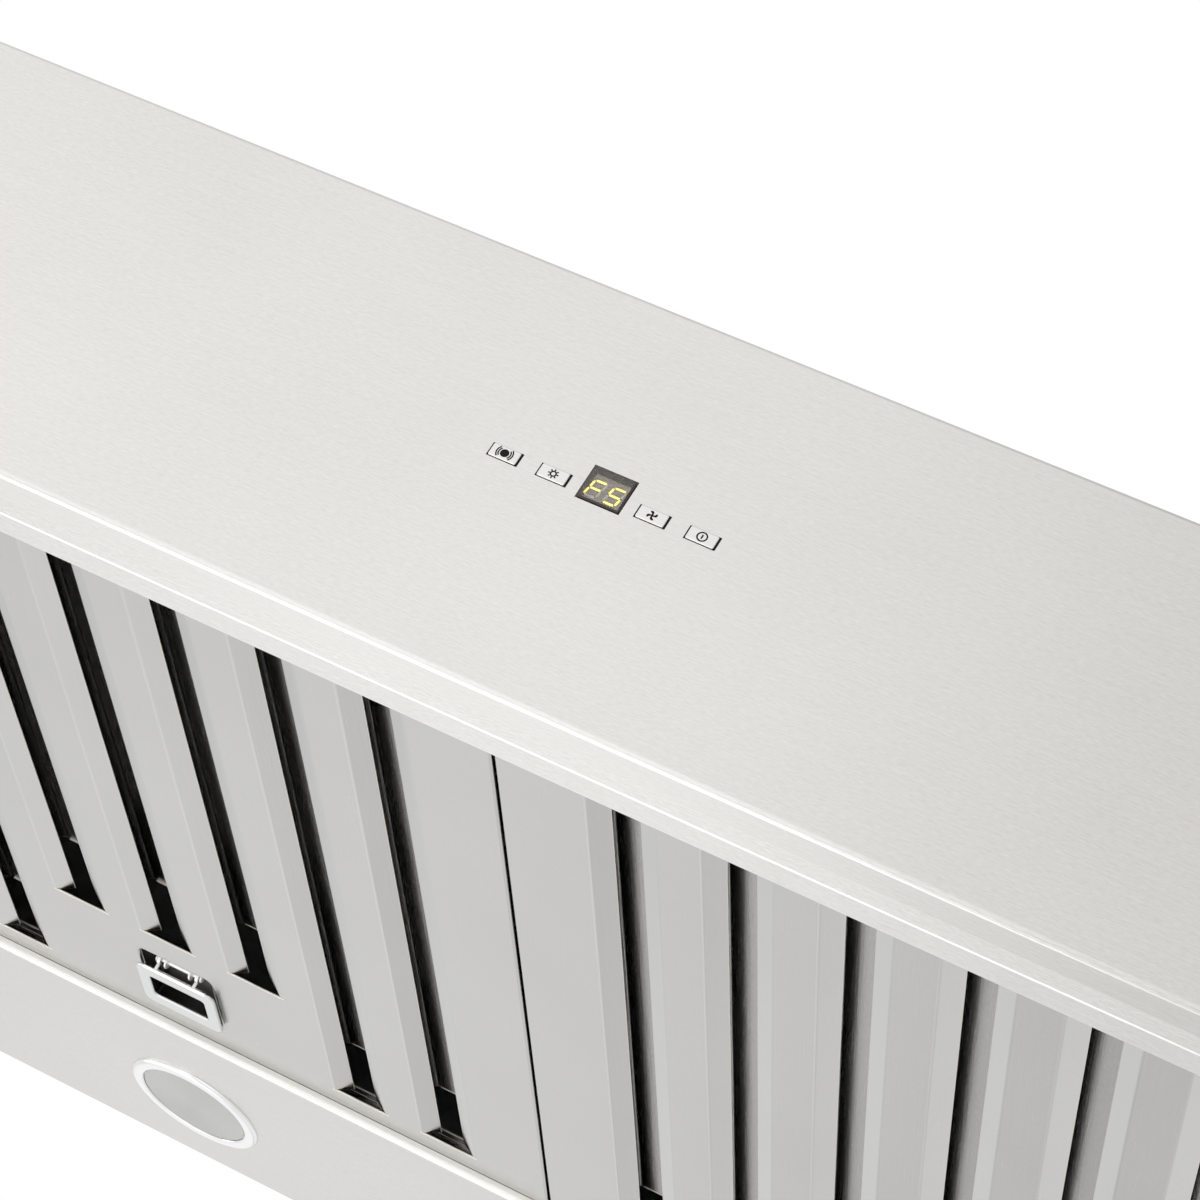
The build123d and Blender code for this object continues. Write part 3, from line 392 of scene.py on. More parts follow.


# The rail's bend is painted paler and half matt as painted light, and the flat is painted darker than
# the front sheet as painted shade.
lit_rail_steel = brushed_steel("lit_rail_steel", (0.95, 0.94, 0.89), (1, 0, 0), 0.42, 0.06, 0.18, metal=0.5)
shaded_rear_steel = brushed_steel("shaded_rear_steel", (0.63, 0.62, 0.60), (1, 0, 0), 0.25, 0.06, 0.18)
mesh = bmesh.new()
flat_start = rail_front + rail_bend
corners = [(flat_start, base_z), (rail_front, base_z), (rail_front, base_z + rail_rise)]
corners.append((rail_front + rail_return, base_z + rail_rise))
line = bend_line(corners, [rail_bend * 0.999, rail_hem])
strip_skin(mesh, lambda p, s: (s, p.x, p.y), line, (rear_low.x, rear_high.x))
outline = [(rear_low.x, flat_start), (rear_high.x, flat_start)]
outline += [(rear_high.x, 0.0), (rear_low.x, 0.0)]
loops = [[mesh.verts.new((*point, base_z)) for point in outline]]
for sign in (-1, 1):
    middle = (sign * lamp_centre[0], lamp_centre[1])
    hole = rounded_loop(middle, (lamp_hole, lamp_hole), lamp_hole, steps=16)
    loops.append([mesh.verts.new((*point, base_z)) for point in hole])
edges = []
for loop in loops:
    bmesh.ops.remove_doubles(mesh, verts=loop, dist=1e-4)
    loop = [vert for vert in loop if vert.is_valid]
    edges += [mesh.edges.new(pair) for pair in zip(loop, loop[1:] + loop[:1])]
filled = bmesh.ops.triangle_fill(mesh, use_beauty=True, edges=edges)
for face in filled["geom"]:
    if isinstance(face, bmesh.types.BMFace):
        face.material_index = 1
make_piece(
    "rear_panel_sheet", mesh, "hood", (lit_rail_steel, shaded_rear_steel, cut_steel),
    nodes=("rear_panel",), sheet=1.0, toward=(0, 0, -1),
)

# Back panel: galvanised sheet against the wall, its zinc in flat crystals. The
# volutes, the plenum, the terminal box and the collar are of the same sheet.
crystal_shade = 0.82


def galvanised_sheet(name, colour, size):
    material, skin, place = new_material(name, 1.0, 0.4)
    flake = place.node("ShaderNodeTexVoronoi", {"Vector": place, "Scale": size}, out=1)
    tone = place.node("ShaderNodeSeparateColor", {0: flake})
    feed(skin, "Base Color", tone.blend(tuple(crystal_shade * c for c in colour), colour))
    feed(skin, "Roughness", tone * 0.16 + 0.34)
    feed(skin, "Normal", bump(noise(place, 900.0, 2.0), 0.1, 0.0002))
    return material


galvanised = galvanised_sheet("galvanised", (0.62, 0.64, 0.65), 130.0)
dress(galvanised, "back_panel", "plenum", "left_volute", "right_volute")
dress(galvanised, "terminal_box", "terminal_cover", "duct_collar")
dress(galvanised, "left_motor_plate", "right_motor_plate")

# Baffle filters: a tray pressed from thin satin sheet, with seven slots whose
# long edges are folded up into the tray. The three by the handle are shorter.
# The tray's rim is turned in at the top.
filter_steel = brushed_steel("filter_steel", (0.532, 0.527, 0.518), (0, 1, 0), 0.25, 0.03, 0.12, 0.05)
# The baffles are the same sheet painted darker, as painted shade.
shaded_baffle_steel = brushed_steel("baffle_painted_shade", (0.42, 0.41, 0.40), (0, 1, 0), 0.26, 0.08, 0.3, 0.05)
# The folds are copies of the tray's sheet: the right one painted darker as painted shade, the left one
# paler as painted light.
shaded_right_fold, lit_left_fold = (
    brushed_steel(name, colour, (0, 1, 0), 0.2, 0.02, 0.12, 0.05, soften=(0, 0, -1.2))
    for name, colour in (("shaded_right_fold", (0.51, 0.507, 0.505)), ("lit_left_fold", (0.56, 0.555, 0.545)))
)
# Cut edges and bevels of the filter sheet: a real edge, painted pale and half matt as a painted
# highlight.
edge_painted_highlight = brushed_steel("edge_painted_highlight", (0.95, 0.90, 0.80), (0, 0, 1), 0.3, 0.04, 0.1, metal=0.3)
tray_sheet = 0.8
tray_bend = 1.1
tray_hem = 6.0
slot_count = 7
slot_pitch = 44.0
slot_gap = 11.0
flap_run = 7.6
flap_rise = 4.0
flap_fold = 1.6
flap_reach = slot_gap / 2 + flap_run + 0.8
flap_relief = 0.4
slot_front = front_y + 42.0
slot_rears = {True: -219.0, False: -149.2}
dish_half = (17.8, 22.2)
dish_middle = -177.2
dish_land = 4
dish_corner = 3.0
dish_roll = 1.8
dish_step = 0.2
dish_edge = [(1.4, 0.0), (1.2, -0.02), (0.2, -0.18)]


def band(mesh, near, far):
    """Faces between two rings of as many points."""
    for k in range(len(near)):
        n = (k + 1) % len(near)
        mesh.faces.new((near[k], near[n], far[n], far[k]))


def slot_places(centre):
    for index in range(slot_count):
        step = index - (slot_count - 1) / 2
        yield centre + step * slot_pitch, slot_rears[abs(step) <= 1]


def make_tray(side):
    low, high = millimetres(f"{side}_filter_tray")
    centre = (low.x + high.x) / 2
    mesh = bmesh.new()
    holes = [(x - flap_reach, slot_front, x + flap_reach, rear) for x, rear in slot_places(centre)]
    cuts_u = {u for hole in holes for u in (hole[0], hole[2])}
    relieved = {slot_front + flap_relief} | {rear - flap_relief for rear in slot_rears.values()}
    cuts_v = {slot_front, *slot_rears.values(), *relieved}
    reach = (dish_half[0] + dish_land, dish_half[1] + dish_land)
    dish_hole = (
        centre - reach[0], dish_middle - reach[1], centre + reach[0], dish_middle + reach[1],
    )
    cuts_u |= {dish_hole[0], dish_hole[2]}
    cuts_v |= {dish_hole[1], dish_hole[3]}
    wall = high.z - low.z - tray_bend
    columns = side_stations(low.x, high.x, cuts_u, tray_bend, wall, steps=5)
    rows = side_stations(low.y, high.y, cuts_v, tray_bend, wall, steps=5)

    def place(u, v, w):
        return (u, v, low.z - w)

    pan_skin(mesh, place, columns, rows, tray_bend, holes + [dish_hole])
    for x, rear in slot_places(centre):
        along = [v for v, b, _ in rows if not b and slot_front < v < rear]
        for sign in (-1, 1):
            corners = [(sign * flap_reach, 0), (sign * (slot_gap / 2 + flap_run), 0)]
            corners.append((sign * slot_gap / 2, flap_rise))
            line = bend_line(corners, [flap_fold], steps=4)
            before = len(mesh.faces)
            strip_skin(mesh, lambda p, s: (x + p.x, s, low.z + p.y), line, along)
            mesh.faces.ensure_lookup_table()
            for face in mesh.faces[before:]:
                face.material_index = 1 if sign > 0 else 2
    # The sheet round the handle's recess, drawn up into it
    bmesh.ops.remove_doubles(mesh, verts=mesh.verts, dist=1e-4)
    outer = [edge for edge in mesh.edges if edge.is_boundary and all(
        abs(vert.co.z - low.z) < 1e-4
        and dish_hole[0] - 1e-3 <= vert.co.x <= dish_hole[2] + 1e-3
        and dish_hole[1] - 1e-3 <= vert.co.y <= dish_hole[3] + 1e-3
        for vert in edge.verts
    )]
    rings = []
    section = [(dish_roll + out, rise) for out, rise in dish_edge]
    for k in range(5):
        angle = math.pi / 2 * k / 4
        out, rise = 1 - math.sin(angle), 1 - math.cos(angle)
        section.append((dish_roll * out, dish_roll * rise - dish_step))
    for grow, rise in section:
        half = (dish_half[0] + grow, dish_half[1] + grow)
        loop = rounded_loop((centre, dish_middle), half, dish_corner + grow)
        rings.append([mesh.verts.new((u, v, low.z + rise)) for u, v in loop])
    for near, far in zip(rings, rings[1:]):
        band(mesh, near, far)
    inner = [mesh.edges.get(pair) for pair in zip(rings[0], rings[0][1:] + rings[0][:1])]
    bmesh.ops.triangle_fill(mesh, use_beauty=True, edges=outer + inner)
    # Rim turned in
    top = [edge for edge in mesh.edges if edge.is_boundary and all(
        vert.co.z > high.z - 0.01 for vert in edge.verts
    )]
    turned = bmesh.ops.extrude_edge_only(mesh, edges=top)
    for item in turned["geom"]:
        if isinstance(item, bmesh.types.BMVert):
            item.co.x = min(max(item.co.x, low.x + tray_hem), high.x - tray_hem)
            item.co.y = min(max(item.co.y, low.y + tray_hem), high.y - tray_hem)
    make_piece(
        f"{side}_filter_pressing", mesh, f"{side}_filter",
        (filter_steel, shaded_right_fold, lit_left_fold, edge_painted_highlight),
        nodes=(f"{side}_filter_tray",), sheet=tray_sheet, toward=(0, 0, -1), bevel=0.22,
    )


for side in sides:
    make_tray(side)

# Baffles behind the slots: hat shaped strips of the same sheet, held by two
# bars across the tray, with a rivet through each hat. They lie in the dark.
hat_flat = 17.0
hat_run = 7.6
hat_rise = 4.0
hat_fold = 2.5
hat_front = front_y + 30.0
hat_setback = 30.0
bar_half = 9.0
bar_inset = 22.0
bar_corner = 3.0
baffle_rivet = [(0, -0.45), (1.6, -0.42), (1.9, -0.2), (2.0, 0.0)]
hem_half = (hat_flat / 2 - 1.0, 0.3)
hem_drop = 0.9
weld_gap = 0.02


def lathe(mesh, centre, profile, steps=32, closed=False):
    """Turns a profile of radius and height about an upright axis."""
    rings = []
    for radius, z in profile:
        if radius < 1e-6:
            rings.append([mesh.verts.new((centre[0], centre[1], z))] * steps)
            continue
        angles = [2 * math.pi * k / steps for k in range(steps)]
        rings.append([mesh.verts.new((*round_point(centre, radius, a), z)) for a in angles])
    pairs = list(zip(rings, rings[1:])) + ([(rings[-1], rings[0])] if closed else [])
    for near, far in pairs:
        for k in range(steps):
            n = (k + 1) % steps
            corners = [near[k], near[n], far[n], far[k]]
            corners = [vert for m, vert in enumerate(corners) if vert not in corners[:m]]
            if len(corners) > 2:
                mesh.faces.new(corners)


def slab(mesh, place, low, high, outer, inner=None):
    """A plate between two levels, with an outline and perhaps a window."""
    rings = [
        [mesh.verts.new(place(u, v, w)) for u, v in loop]
        for loop in (outer, inner) if loop for w in (low, high)
    ]
    bands = [(0, 1)] if not inner else [(0, 1), (3, 2), (1, 3), (2, 0)]
    for a, b in bands:
        band(mesh, rings[a], rings[b])
    if not inner:
        mesh.faces.new(rings[1])
        mesh.faces.new(rings[0][::-1])


def stack(mesh, place, levels):
    """A solid through a row of outlines, each at its own level."""
    rings = [[mesh.verts.new(place(u, v, w)) for u, v in loop] for w, loop in levels]
    for near, far in zip(rings, rings[1:]):
        band(mesh, near, far)
    mesh.faces.new(rings[0][::-1])
    mesh.faces.new(rings[-1])


def upright(u, v, w):
    return (u, v, w)


def make_baffles(side):
    low, high = millimetres(f"{side}_rear_baffles")
    centre = (low.x + high.x) / 2
    hat_z = high.z - tray_sheet
    mesh = bmesh.new()
    for x, rear in slot_places(centre):
        corners = [
            (x - hat_flat / 2 - hat_run, hat_z - hat_rise), (x - hat_flat / 2, hat_z),
            (x + hat_flat / 2, hat_z), (x + hat_flat / 2 + hat_run, hat_z - hat_rise),
        ]
        line = bend_line(corners, [hat_fold, hat_fold])
        strip_skin(mesh, lambda p, s: (p.x, s, p.y), line, (hat_front, rear - hat_setback))
    make_piece(
        f"{side}_baffle_hats", mesh, f"{side}_filter", (shaded_baffle_steel, edge_painted_highlight),
        nodes=(f"{side}_rear_baffles",), sheet=tray_sheet, toward=(0, 0, -1), bevel=0.2,
    )
    mesh = bmesh.new()
    half = ((high.x - low.x) / 2, bar_half)
    for y in (hat_front + bar_inset, slot_rears[True] - hat_setback - bar_inset):
        slab(mesh, upright, hat_z + weld_gap, high.z, rounded_loop((centre, y), half, bar_corner))
        for x, _ in slot_places(centre):
            lathe(mesh, (x, y), [(radius, hat_z + rise) for radius, rise in baffle_rivet], 16)
    make_piece(f"{side}_baffle_bars", mesh, f"{side}_filter", (shaded_baffle_steel,), bevel=0.2)
    # The hems at the hats' ends carry the painted edge highlight.
    mesh = bmesh.new()
    for x, rear in slot_places(centre):
        end = rear - hat_setback
        hem = rounded_loop((x, end - hem_half[1]), hem_half, 0.2, steps=2)
        slab(mesh, upright, hat_z - hem_drop, hat_z - weld_gap, hem)
    make_piece(f"{side}_baffle_hems", mesh, f"{side}_filter", (edge_painted_highlight,))


for side in sides:
    make_baffles(side)

# Recess of the handle: a small dish drawn from the same sheet and welded behind
# the tray. Two ears in it hold the hinge pin, whose ends are riveted over.
dish_rim = 4.0
dish_depth = 9.0
dish_sheet = 0.8
dish_gap = 0.8
dish_bend = 2.0
ear_x = 6.2
ear_half = 0.5
ear_radius = 3.3
pin_radius = 1.3
pin_head = 2.2
pin_end = [(0, 0), (1.4, 0.1), (1.95, 0.4), (pin_head, 0.85), (pin_head, 1.0), (pin_radius, 1.05)]
web_edges = (0.8, 1.6)
web_drop = 0.6
# Ears, pin and handle arms are painted pale and half matt as painted light in the dark recess.
pale_lit_steel = brushed_steel("pin_painted_light", (0.95, 0.94, 0.92), (1, 0, 0), 0.2, 0.03, 0.05, metal=0.4)
# The dish is the same sheet painted near black, as painted shade in the recess.
recess_painted_shade = brushed_steel("recess_painted_shade", (0.13, 0.125, 0.12), (1, 0, 0), 0.3, 0.1, 0.2)


def turned_rod(mesh, centre, reach, end):
    """Turns a rod about an axis along the hood, with this profile at each end."""
    first = len(mesh.verts)
    profile = [(r, z - reach) for r, z in end] + [(r, reach - z) for r, z in reversed(end)]
    lathe(mesh, (0, 0), profile, 24)
    mesh.verts.ensure_lookup_table()
    for vert in mesh.verts[first:]:
        x, y, z = vert.co
        vert.co = (centre[0] + z, centre[1] + x, centre[2] + y)


def make_recess(side):
    low, high = millimetres(f"{side}_filter_tray")
    centre = (low.x + high.x) / 2
    pin_low, pin_high = millimetres(f"{side}_handle_pin")
    pin_y, pin_z = (pin_low.y + pin_high.y) / 2, (pin_low.z + pin_high.z) / 2
    rim_z = low.z + tray_sheet + dish_sheet
    floor_z = low.z + tray_sheet + dish_depth
    mesh = bmesh.new()
    spans = ((centre, dish_half[0] + dish_gap), (dish_middle, dish_half[1] + dish_gap))
    wall = floor_z - rim_z - dish_bend
    stations = [
        side_stations(middle - reach, middle + reach, (), dish_bend, wall, steps=5)
        for middle, reach in spans
    ]
    pan_skin(mesh, lambda u, v, w: (u, v, floor_z + w), *stations, dish_bend)
    bmesh.ops.remove_doubles(mesh, verts=mesh.verts, dist=1e-4)
    foot = [edge for edge in mesh.edges if edge.is_boundary]
    rim = bmesh.ops.extrude_edge_only(mesh, edges=foot)
    for item in rim["geom"]:
        if isinstance(item, bmesh.types.BMVert):
            for axis, (middle, reach) in enumerate(spans):
                offset = item.co[axis] - middle
                if abs(offset) > reach - dish_bend - 0.1:
                    item.co[axis] += math.copysign(dish_rim, offset)
    make_piece(
        f"{side}_recess_dish", mesh, f"{side}_filter", (recess_painted_shade, edge_painted_highlight),
        nodes=(f"{side}_handle_dish",), sheet=dish_sheet, toward=(0, 0, 1),
    )
    mesh = bmesh.new()
    ear_top = floor_z - dish_sheet
    for sign in (-1, 1):
        arc = [math.pi * (1 + k / 12) for k in range(13)]
        outline = [round_point((pin_y, pin_z), ear_radius, a) for a in arc]
        outline += [(pin_y + ear_radius, ear_top), (pin_y - ear_radius, ear_top)]
        x = centre + sign * ear_x
        slab(mesh, lambda u, v, w: (w, u, v), x - ear_half, x + ear_half, outline)
    near, far = (pin_y - ear_radius + edge for edge in web_edges)
    web = [(centre + ear_x, far), (centre - ear_x, far), (centre - ear_x, near), (centre + ear_x, near)]
    slab(mesh, upright, pin_z - web_drop, ear_top, web)
    make_piece(f"{side}_recess_ears", mesh, f"{side}_filter", (pale_lit_steel,), bevel=0.3)
    mesh = bmesh.new()
    turned_rod(mesh, (centre, pin_y, pin_z), (pin_high.x - pin_low.x) / 2, pin_end)
    make_piece(
        f"{side}_hinge_pin", mesh, f"{side}_filter", (pale_lit_steel,),
        nodes=(f"{side}_handle_pin",),
    )


for side in sides:
    make_recess(side)

# Handle: a flat loop stamped from thicker sheet, its edges tumbled round. Two
# narrow arms at its front edge curl about the pin. It hangs flat when at rest.
loop_steel = brushed_steel("handle_steel", (0.67, 0.675, 0.68), (0, 1, 0), 0.2, 0.02, 0.06)
# The handle's rolled front edge is painted near white as a painted highlight.
curl_painted_highlight = brushed_steel("curl_painted_highlight", (0.93, 0.92, 0.90), (1, 0, 0), 0.2, 0.02, 0.04)
loop_leg = 6.0
loop_bar = 8.2
loop_corner = 4.0
loop_front = 1.4
loop_sheet = 1.6
curl_edge = 1.05
curl_end = [(0, 0), (0.6, 0.1), (0.95, 0.45), (curl_edge, 1.0)]
curl_place = (0.7, 0.85)
arm_place = 9.7
arm_half = 0.7
curl_radius = 2.0
curl_sheet = 0.9
curl_start = -50
curl_step = 22


def make_handle(side):
    low, high = millimetres(f"{side}_handle")
    centre = (low.x + high.x) / 2
    pin_low, pin_high = millimetres(f"{side}_handle_pin")
    pin_y, pin_z = (pin_low.y + pin_high.y) / 2, (pin_low.z + pin_high.z) / 2
    loop_z = low.z
    front = pin_y + loop_front
    middle = (centre, (front + high.y) / 2)
    half = ((high.x - low.x) / 2, (high.y - front) / 2)
    mesh = bmesh.new()
    outer = rounded_loop(middle, half, loop_corner)
    inner = rounded_loop(middle, (half[0] - loop_leg, half[1] - loop_bar), loop_corner / 2)
    slab(mesh, upright, loop_z, loop_z + loop_sheet, outer, inner)
    make_piece(
        f"{side}_handle_loop", mesh, f"{side}_handle", (loop_steel,),
        nodes=(f"{side}_handle",), bevel=0.75,
    )
    mesh = bmesh.new()
    rolled = (centre, front + curl_place[0], loop_z + curl_place[1])
    turned_rod(mesh, rolled, half[0] - loop_corner, curl_end)
    make_piece(f"{side}_handle_curl", mesh, f"{side}_handle", (curl_painted_highlight,))
    mesh = bmesh.new()
    curl = [(front + 0.5, loop_z + 0.5)]
    for k in range(13):
        curl.append(round_point((pin_y, pin_z), curl_radius, math.radians(curl_start - curl_step * k)))
    line = [Vector(point) for point in curl]
    for sign in (-1, 1):
        x = centre + sign * arm_place
        strip_skin(mesh, lambda p, s: (s, p.x, p.y), line, (x - arm_half, x + arm_half))
    make_piece(
        f"{side}_handle_arms", mesh, f"{side}_handle", (pale_lit_steel,),
        sheet=curl_sheet, toward=(0, 1, 0),
    )


for side in sides:
    make_handle(side)


# Push buttons: satin metal caps on black moulded bodies, with a black symbol
# printed on each, in the order sensor, light, fan, power. A flange behind the
# panel keeps each body in.
def moulded(name, low, high, roughness, scale=700.0, relief=0.25):
    """Moulded or coated surface with a fine grain."""
    material, skin, place = new_material(name, 0.0, roughness)
    grain = noise(place, scale, 3.0)
    feed(skin, "Base Color", grain.blend(low, high))
    feed(skin, "Roughness", grain * 0.12 + (roughness - 0.06))
    feed(skin, "Normal", bump(grain, relief, 0.0003))
    return material


black_plastic = moulded("black_plastic", (0.022, 0.022, 0.023), (0.036, 0.036, 0.037), 0.5)

cap_half = (5.3, 2.65)
cap_drop = 0.2
cap_corner = 0.5
cap_body = 0.2
cap_proud = 0.97
flange_half = (7.0, 4.0)
flange_back, flange_front = -2.5, -1.3
stem_half = (cap_half[0] - 0.15, cap_half[1] - 0.15)
plunger_radius = 1.5
print_depth = 0.01
print_thickness = 0.03
cap_metal = brushed_steel("button_metal", (0.86, 0.85, 0.83), (1, 0, 0), 0.3, 0.03, 0.08)
cap_print, skin, place = new_material("black_print", 0.0, 0.6)
speck = noise(place, 2500.0, 2.0)
feed(skin, "Base Color", speck.blend((0.004, 0.004, 0.004), (0.012, 0.012, 0.012)))
skin.inputs["Specular IOR Level"].default_value = 0.1


def ring_piece(inner, outer, start=0.0, end=360.0, steps=40):
    angles = [math.radians(start + (end - start) * k / steps) for k in range(steps + 1)]
    quads = []
    for a, b in zip(angles, angles[1:]):
        corners = ((inner, a), (outer, a), (outer, b), (inner, b))
        quads.append([(r * math.cos(t), r * math.sin(t)) for r, t in corners])
    return quads


def bar_piece(length, width, middle, angle):
    turn = Matrix.Rotation(math.radians(angle), 2)
    u, v = width / 2, length / 2
    corners = [(-u, -v), (u, -v), (u, v), (-u, v)]
    return [[tuple(turn @ (Vector(corner) + Vector(middle))) for corner in corners]]


blade_start, blade_length = 0.2, 1.75
blade_sweep = 30
blade_neck, blade_swell = 0.27, 0.30


def fan_blade(angle, steps=9):
    """A curved arm with a round end."""
    quads = []
    edge = []
    for k in range(steps + 1):
        out = blade_start + blade_length * k / steps
        sweep = math.radians(angle + blade_sweep * (k / steps) ** 1.4)
        swell = math.sin(math.pi * min(k / steps, 0.97) ** 2.2)
        width = blade_neck + blade_swell * swell
        across_it = Vector((-math.sin(sweep), math.cos(sweep))) * width
        point = Vector((math.cos(sweep), math.sin(sweep))) * out
        edge.append([tuple(point - across_it), tuple(point + across_it)])
    for near, far in zip(edge, edge[1:]):
        quads.append([near[0], far[0], far[1], near[1]])
    return quads


wave_rings = (2.02, 2.78)
wave_width = 0.5
wave_half = 44
symbols = {
    "sensor": ring_piece(0.0, 1.65) + [
        quad for turn in (0, 180) for r in wave_rings
        for quad in ring_piece(r, r + wave_width, turn - wave_half, turn + wave_half, 12)
    ],
    "light": ring_piece(0.72, 1.28) + [
        quad for k in range(8) for quad in bar_piece(0.6, 0.56, (0, 1.66), 45 * k)
    ],
    "fan": [quad for k in range(4) for quad in fan_blade(90 * k)] + ring_piece(0.0, 0.5, steps=16),
    "power": ring_piece(1.48, 2.04) + bar_piece(1.7, 0.6, (0, 0), 0),
}

for slot, symbol in zip(button_slots, symbols):
    x = slot * button_pitch
    mesh = bmesh.new()

    def outward(u, v, w):
        return (x + u, front_y - w, button_middle + v - cap_drop)

    cap = rounded_loop((0, 0), cap_half, cap_corner, steps=3)
    slab(mesh, outward, cap_body, cap_proud, cap)
    make_piece(
        f"{symbol}_button_cap", mesh, f"{symbol}_button", (cap_metal,), bevel=0.5,
    )
    mesh = bmesh.new()
    flange = rounded_loop((0, 0), flange_half, cap_corner, steps=3)
    stem = rounded_loop((0, 0), stem_half, cap_corner, steps=3)
    levels = [(flange_back, flange), (flange_front, flange), (flange_front, stem), (cap_body, stem)]
    stack(mesh, outward, levels)
    reach = millimetres(f"{symbol}_button")[1].y
    plunger = [round_point((0, 0), plunger_radius, 2 * math.pi * k / 16) for k in range(16)]
    slab(mesh, outward, front_y - reach, flange_back, plunger)
    make_piece(
        f"{symbol}_button_body", mesh, f"{symbol}_button", (black_plastic,),
        nodes=(f"{symbol}_button",), bevel=0.1,
    )
    mesh = bmesh.new()
    for quad in symbols[symbol]:
        slab(mesh, outward, cap_proud - print_depth, cap_proud + print_thickness, quad)
    make_piece(f"{symbol}_symbol", mesh, f"{symbol}_button", (cap_print,))

# Display: a smoked acrylic window set in the sheet, and behind it a module of
# two seven segment digits. The lit segments are yellow, the others pale grey.
window_half = (8.1, 7.1)
window_corner = 0.8
window_flange = (9.5, 8.5)
window_levels = (-2.8, -1.0, 0.35, 0.8)
crown_inset = 0.65
smoked, skin, place = new_material("smoked_acrylic", 0.0, 0.0)
skin.inputs["Transmission Weight"].default_value = 1.0
skin.inputs["IOR"].default_value = 1.49
haze = noise(place, 60.0, 2.0)
feed(skin, "Base Color", haze.blend((0.72, 0.68, 0.63), (0.76, 0.72, 0.67)))


def across(u, v, w):
    return (u, front_y - w, display_middle + v)


mesh = bmesh.new()
flange = rounded_loop((0, 0), window_flange, window_corner)
pane = rounded_loop((0, 0), window_half, window_corner)
crown = rounded_loop((0, 0), (window_half[0] - crown_inset, window_half[1] - crown_inset), 0.5)
back, step, rim, proud = window_levels
stack(mesh, across, [(back, flange), (step, flange), (step, pane), (rim, pane), (proud, crown)])
mesh.normal_update()
for face in mesh.faces:
    if abs(face.normal.y) < 0.95:
        face.material_index = 1
ground_edge = moulded("ground_edge", (0.022, 0.018, 0.014), (0.04, 0.033, 0.027), 0.3, 500.0)
make_piece(
    "display_lens", mesh, "hood", (smoked, ground_edge), nodes=("display_window",),
)

# The module face and gasket glow faintly: painted light, not a lamp.
module_face_painted_glow, skin, place = new_material("module_face_painted_glow", 0.0, 0.55)
grit = noise(place, 1500.0, 3.0)
feed(skin, "Base Color", grit.blend((0.14, 0.128, 0.115), (0.17, 0.155, 0.14)))
feed(skin, "Emission Color", grit.blend((0.80, 0.75, 0.70), (0.90, 0.84, 0.78)))
skin.inputs["Emission Strength"].default_value = 0.09
dress(module_face_painted_glow, "display_module")
gasket_levels = (-2.98, -2.84)
gasket_half = (9.3, 8.3)
gasket_hole = (7.35, 6.85)
mesh = bmesh.new()
outer, inner = (rounded_loop((0, 0), half, window_corner) for half in (gasket_half, gasket_hole))
slab(mesh, across, *gasket_levels, outer, inner)
make_piece("display_gasket", mesh, "hood", (module_face_painted_glow,))

lit, skin, place = new_material("lit_segment", 0.0, 0.5)
skin.inputs["Emission Strength"].default_value = 1.6
glow = noise(place, 400.0, 2.0)
feed(skin, "Base Color", glow.blend((0.8, 0.72, 0.1), (0.85, 0.78, 0.15)))
feed(skin, "Emission Color", glow.blend((0.95, 0.83, 0.10), (1.0, 0.92, 0.22)))
unlit, skin, place = new_material("unlit_segment", 0.0, 0.5)
milk = noise(place, 900.0, 2.0)
feed(skin, "Base Color", milk.blend((0.72, 0.71, 0.67), (0.80, 0.79, 0.75)))

digit_pitch = 7.35
digit_half = (2.3, 3.4)
digit_lean = math.tan(math.radians(10))
segment_width = 0.78
segment_gap = 0.25
segment_levels = (-0.2, 0.06)
digits_middle = (-0.55, -0.5)
segments = {
    "a": ((-1, 1), (1, 1)), "b": ((1, 1), (1, 0)), "c": ((1, 0), (1, -1)), "d": ((-1, -1), (1, -1)),
    "e": ((-1, 0), (-1, -1)), "f": ((-1, 1), (-1, 0)), "g": ((-1, 0), (1, 0)),
}
module_y = millimetres("display_module")[0].y


def on_module(u, v, w):
    return (u, module_y - w, display_middle + v)


for name, material, chosen in (
    ("lit_segments", lit, ("aefg", "acdfg")),
    ("unlit_segments", unlit, ("bcd", "be")),
):
    mesh = bmesh.new()
    for digit, letters in enumerate(chosen):
        offset = Vector((digits_middle[0] + (digit - 0.5) * digit_pitch, digits_middle[1]))
        for letter in letters:
            start, end = (Vector((u * digit_half[0], v * digit_half[1])) for u, v in segments[letter])
            along = (end - start).normalized()
            across_it = Vector((-along.y, along.x)) * segment_width / 2
            tip = along * segment_gap
            shoulder = along * (segment_width / 2 + segment_gap)
            outline = [
                start + tip, start + shoulder + across_it, end - shoulder + across_it,
                end - tip, end - shoulder - across_it, start + shoulder - across_it,
            ]
            outline = [(p.x + p.y * digit_lean + offset.x, p.y + offset.y) for p in outline]
            slab(mesh, on_module, *segment_levels, outline)
    make_piece(name, mesh, "hood", (material,))


# Control housing behind the panel: black moulded frame and cover, a green board
# with four small switches, and two zinc nuts on the welded studs.
grey_plastic = moulded("grey_plastic", (0.32, 0.33, 0.34), (0.38, 0.39, 0.40), 0.45)
white_plastic = moulded("white_plastic", (0.79, 0.79, 0.77), (0.84, 0.84, 0.82), 0.45)
zinc = brushed_steel("zinc", (0.75, 0.76, 0.77), (0, 0, 1), 0.28, 0.04, 0.1)
board, skin, place = new_material("green_board", 0.0, 0.35)
tracks = place.node("ShaderNodeTexBrick", {"Vector": place, "Scale": 160.0, "Mortar Size": 0.08}, out=1)
feed(skin, "Base Color", tracks.blend((0.02, 0.13, 0.05), (0.05, 0.24, 0.09)))
dress(black_plastic, "control_frame", "control_cover", "tact_switches")
dress(board, "control_board")
dress(zinc, "control_nuts")

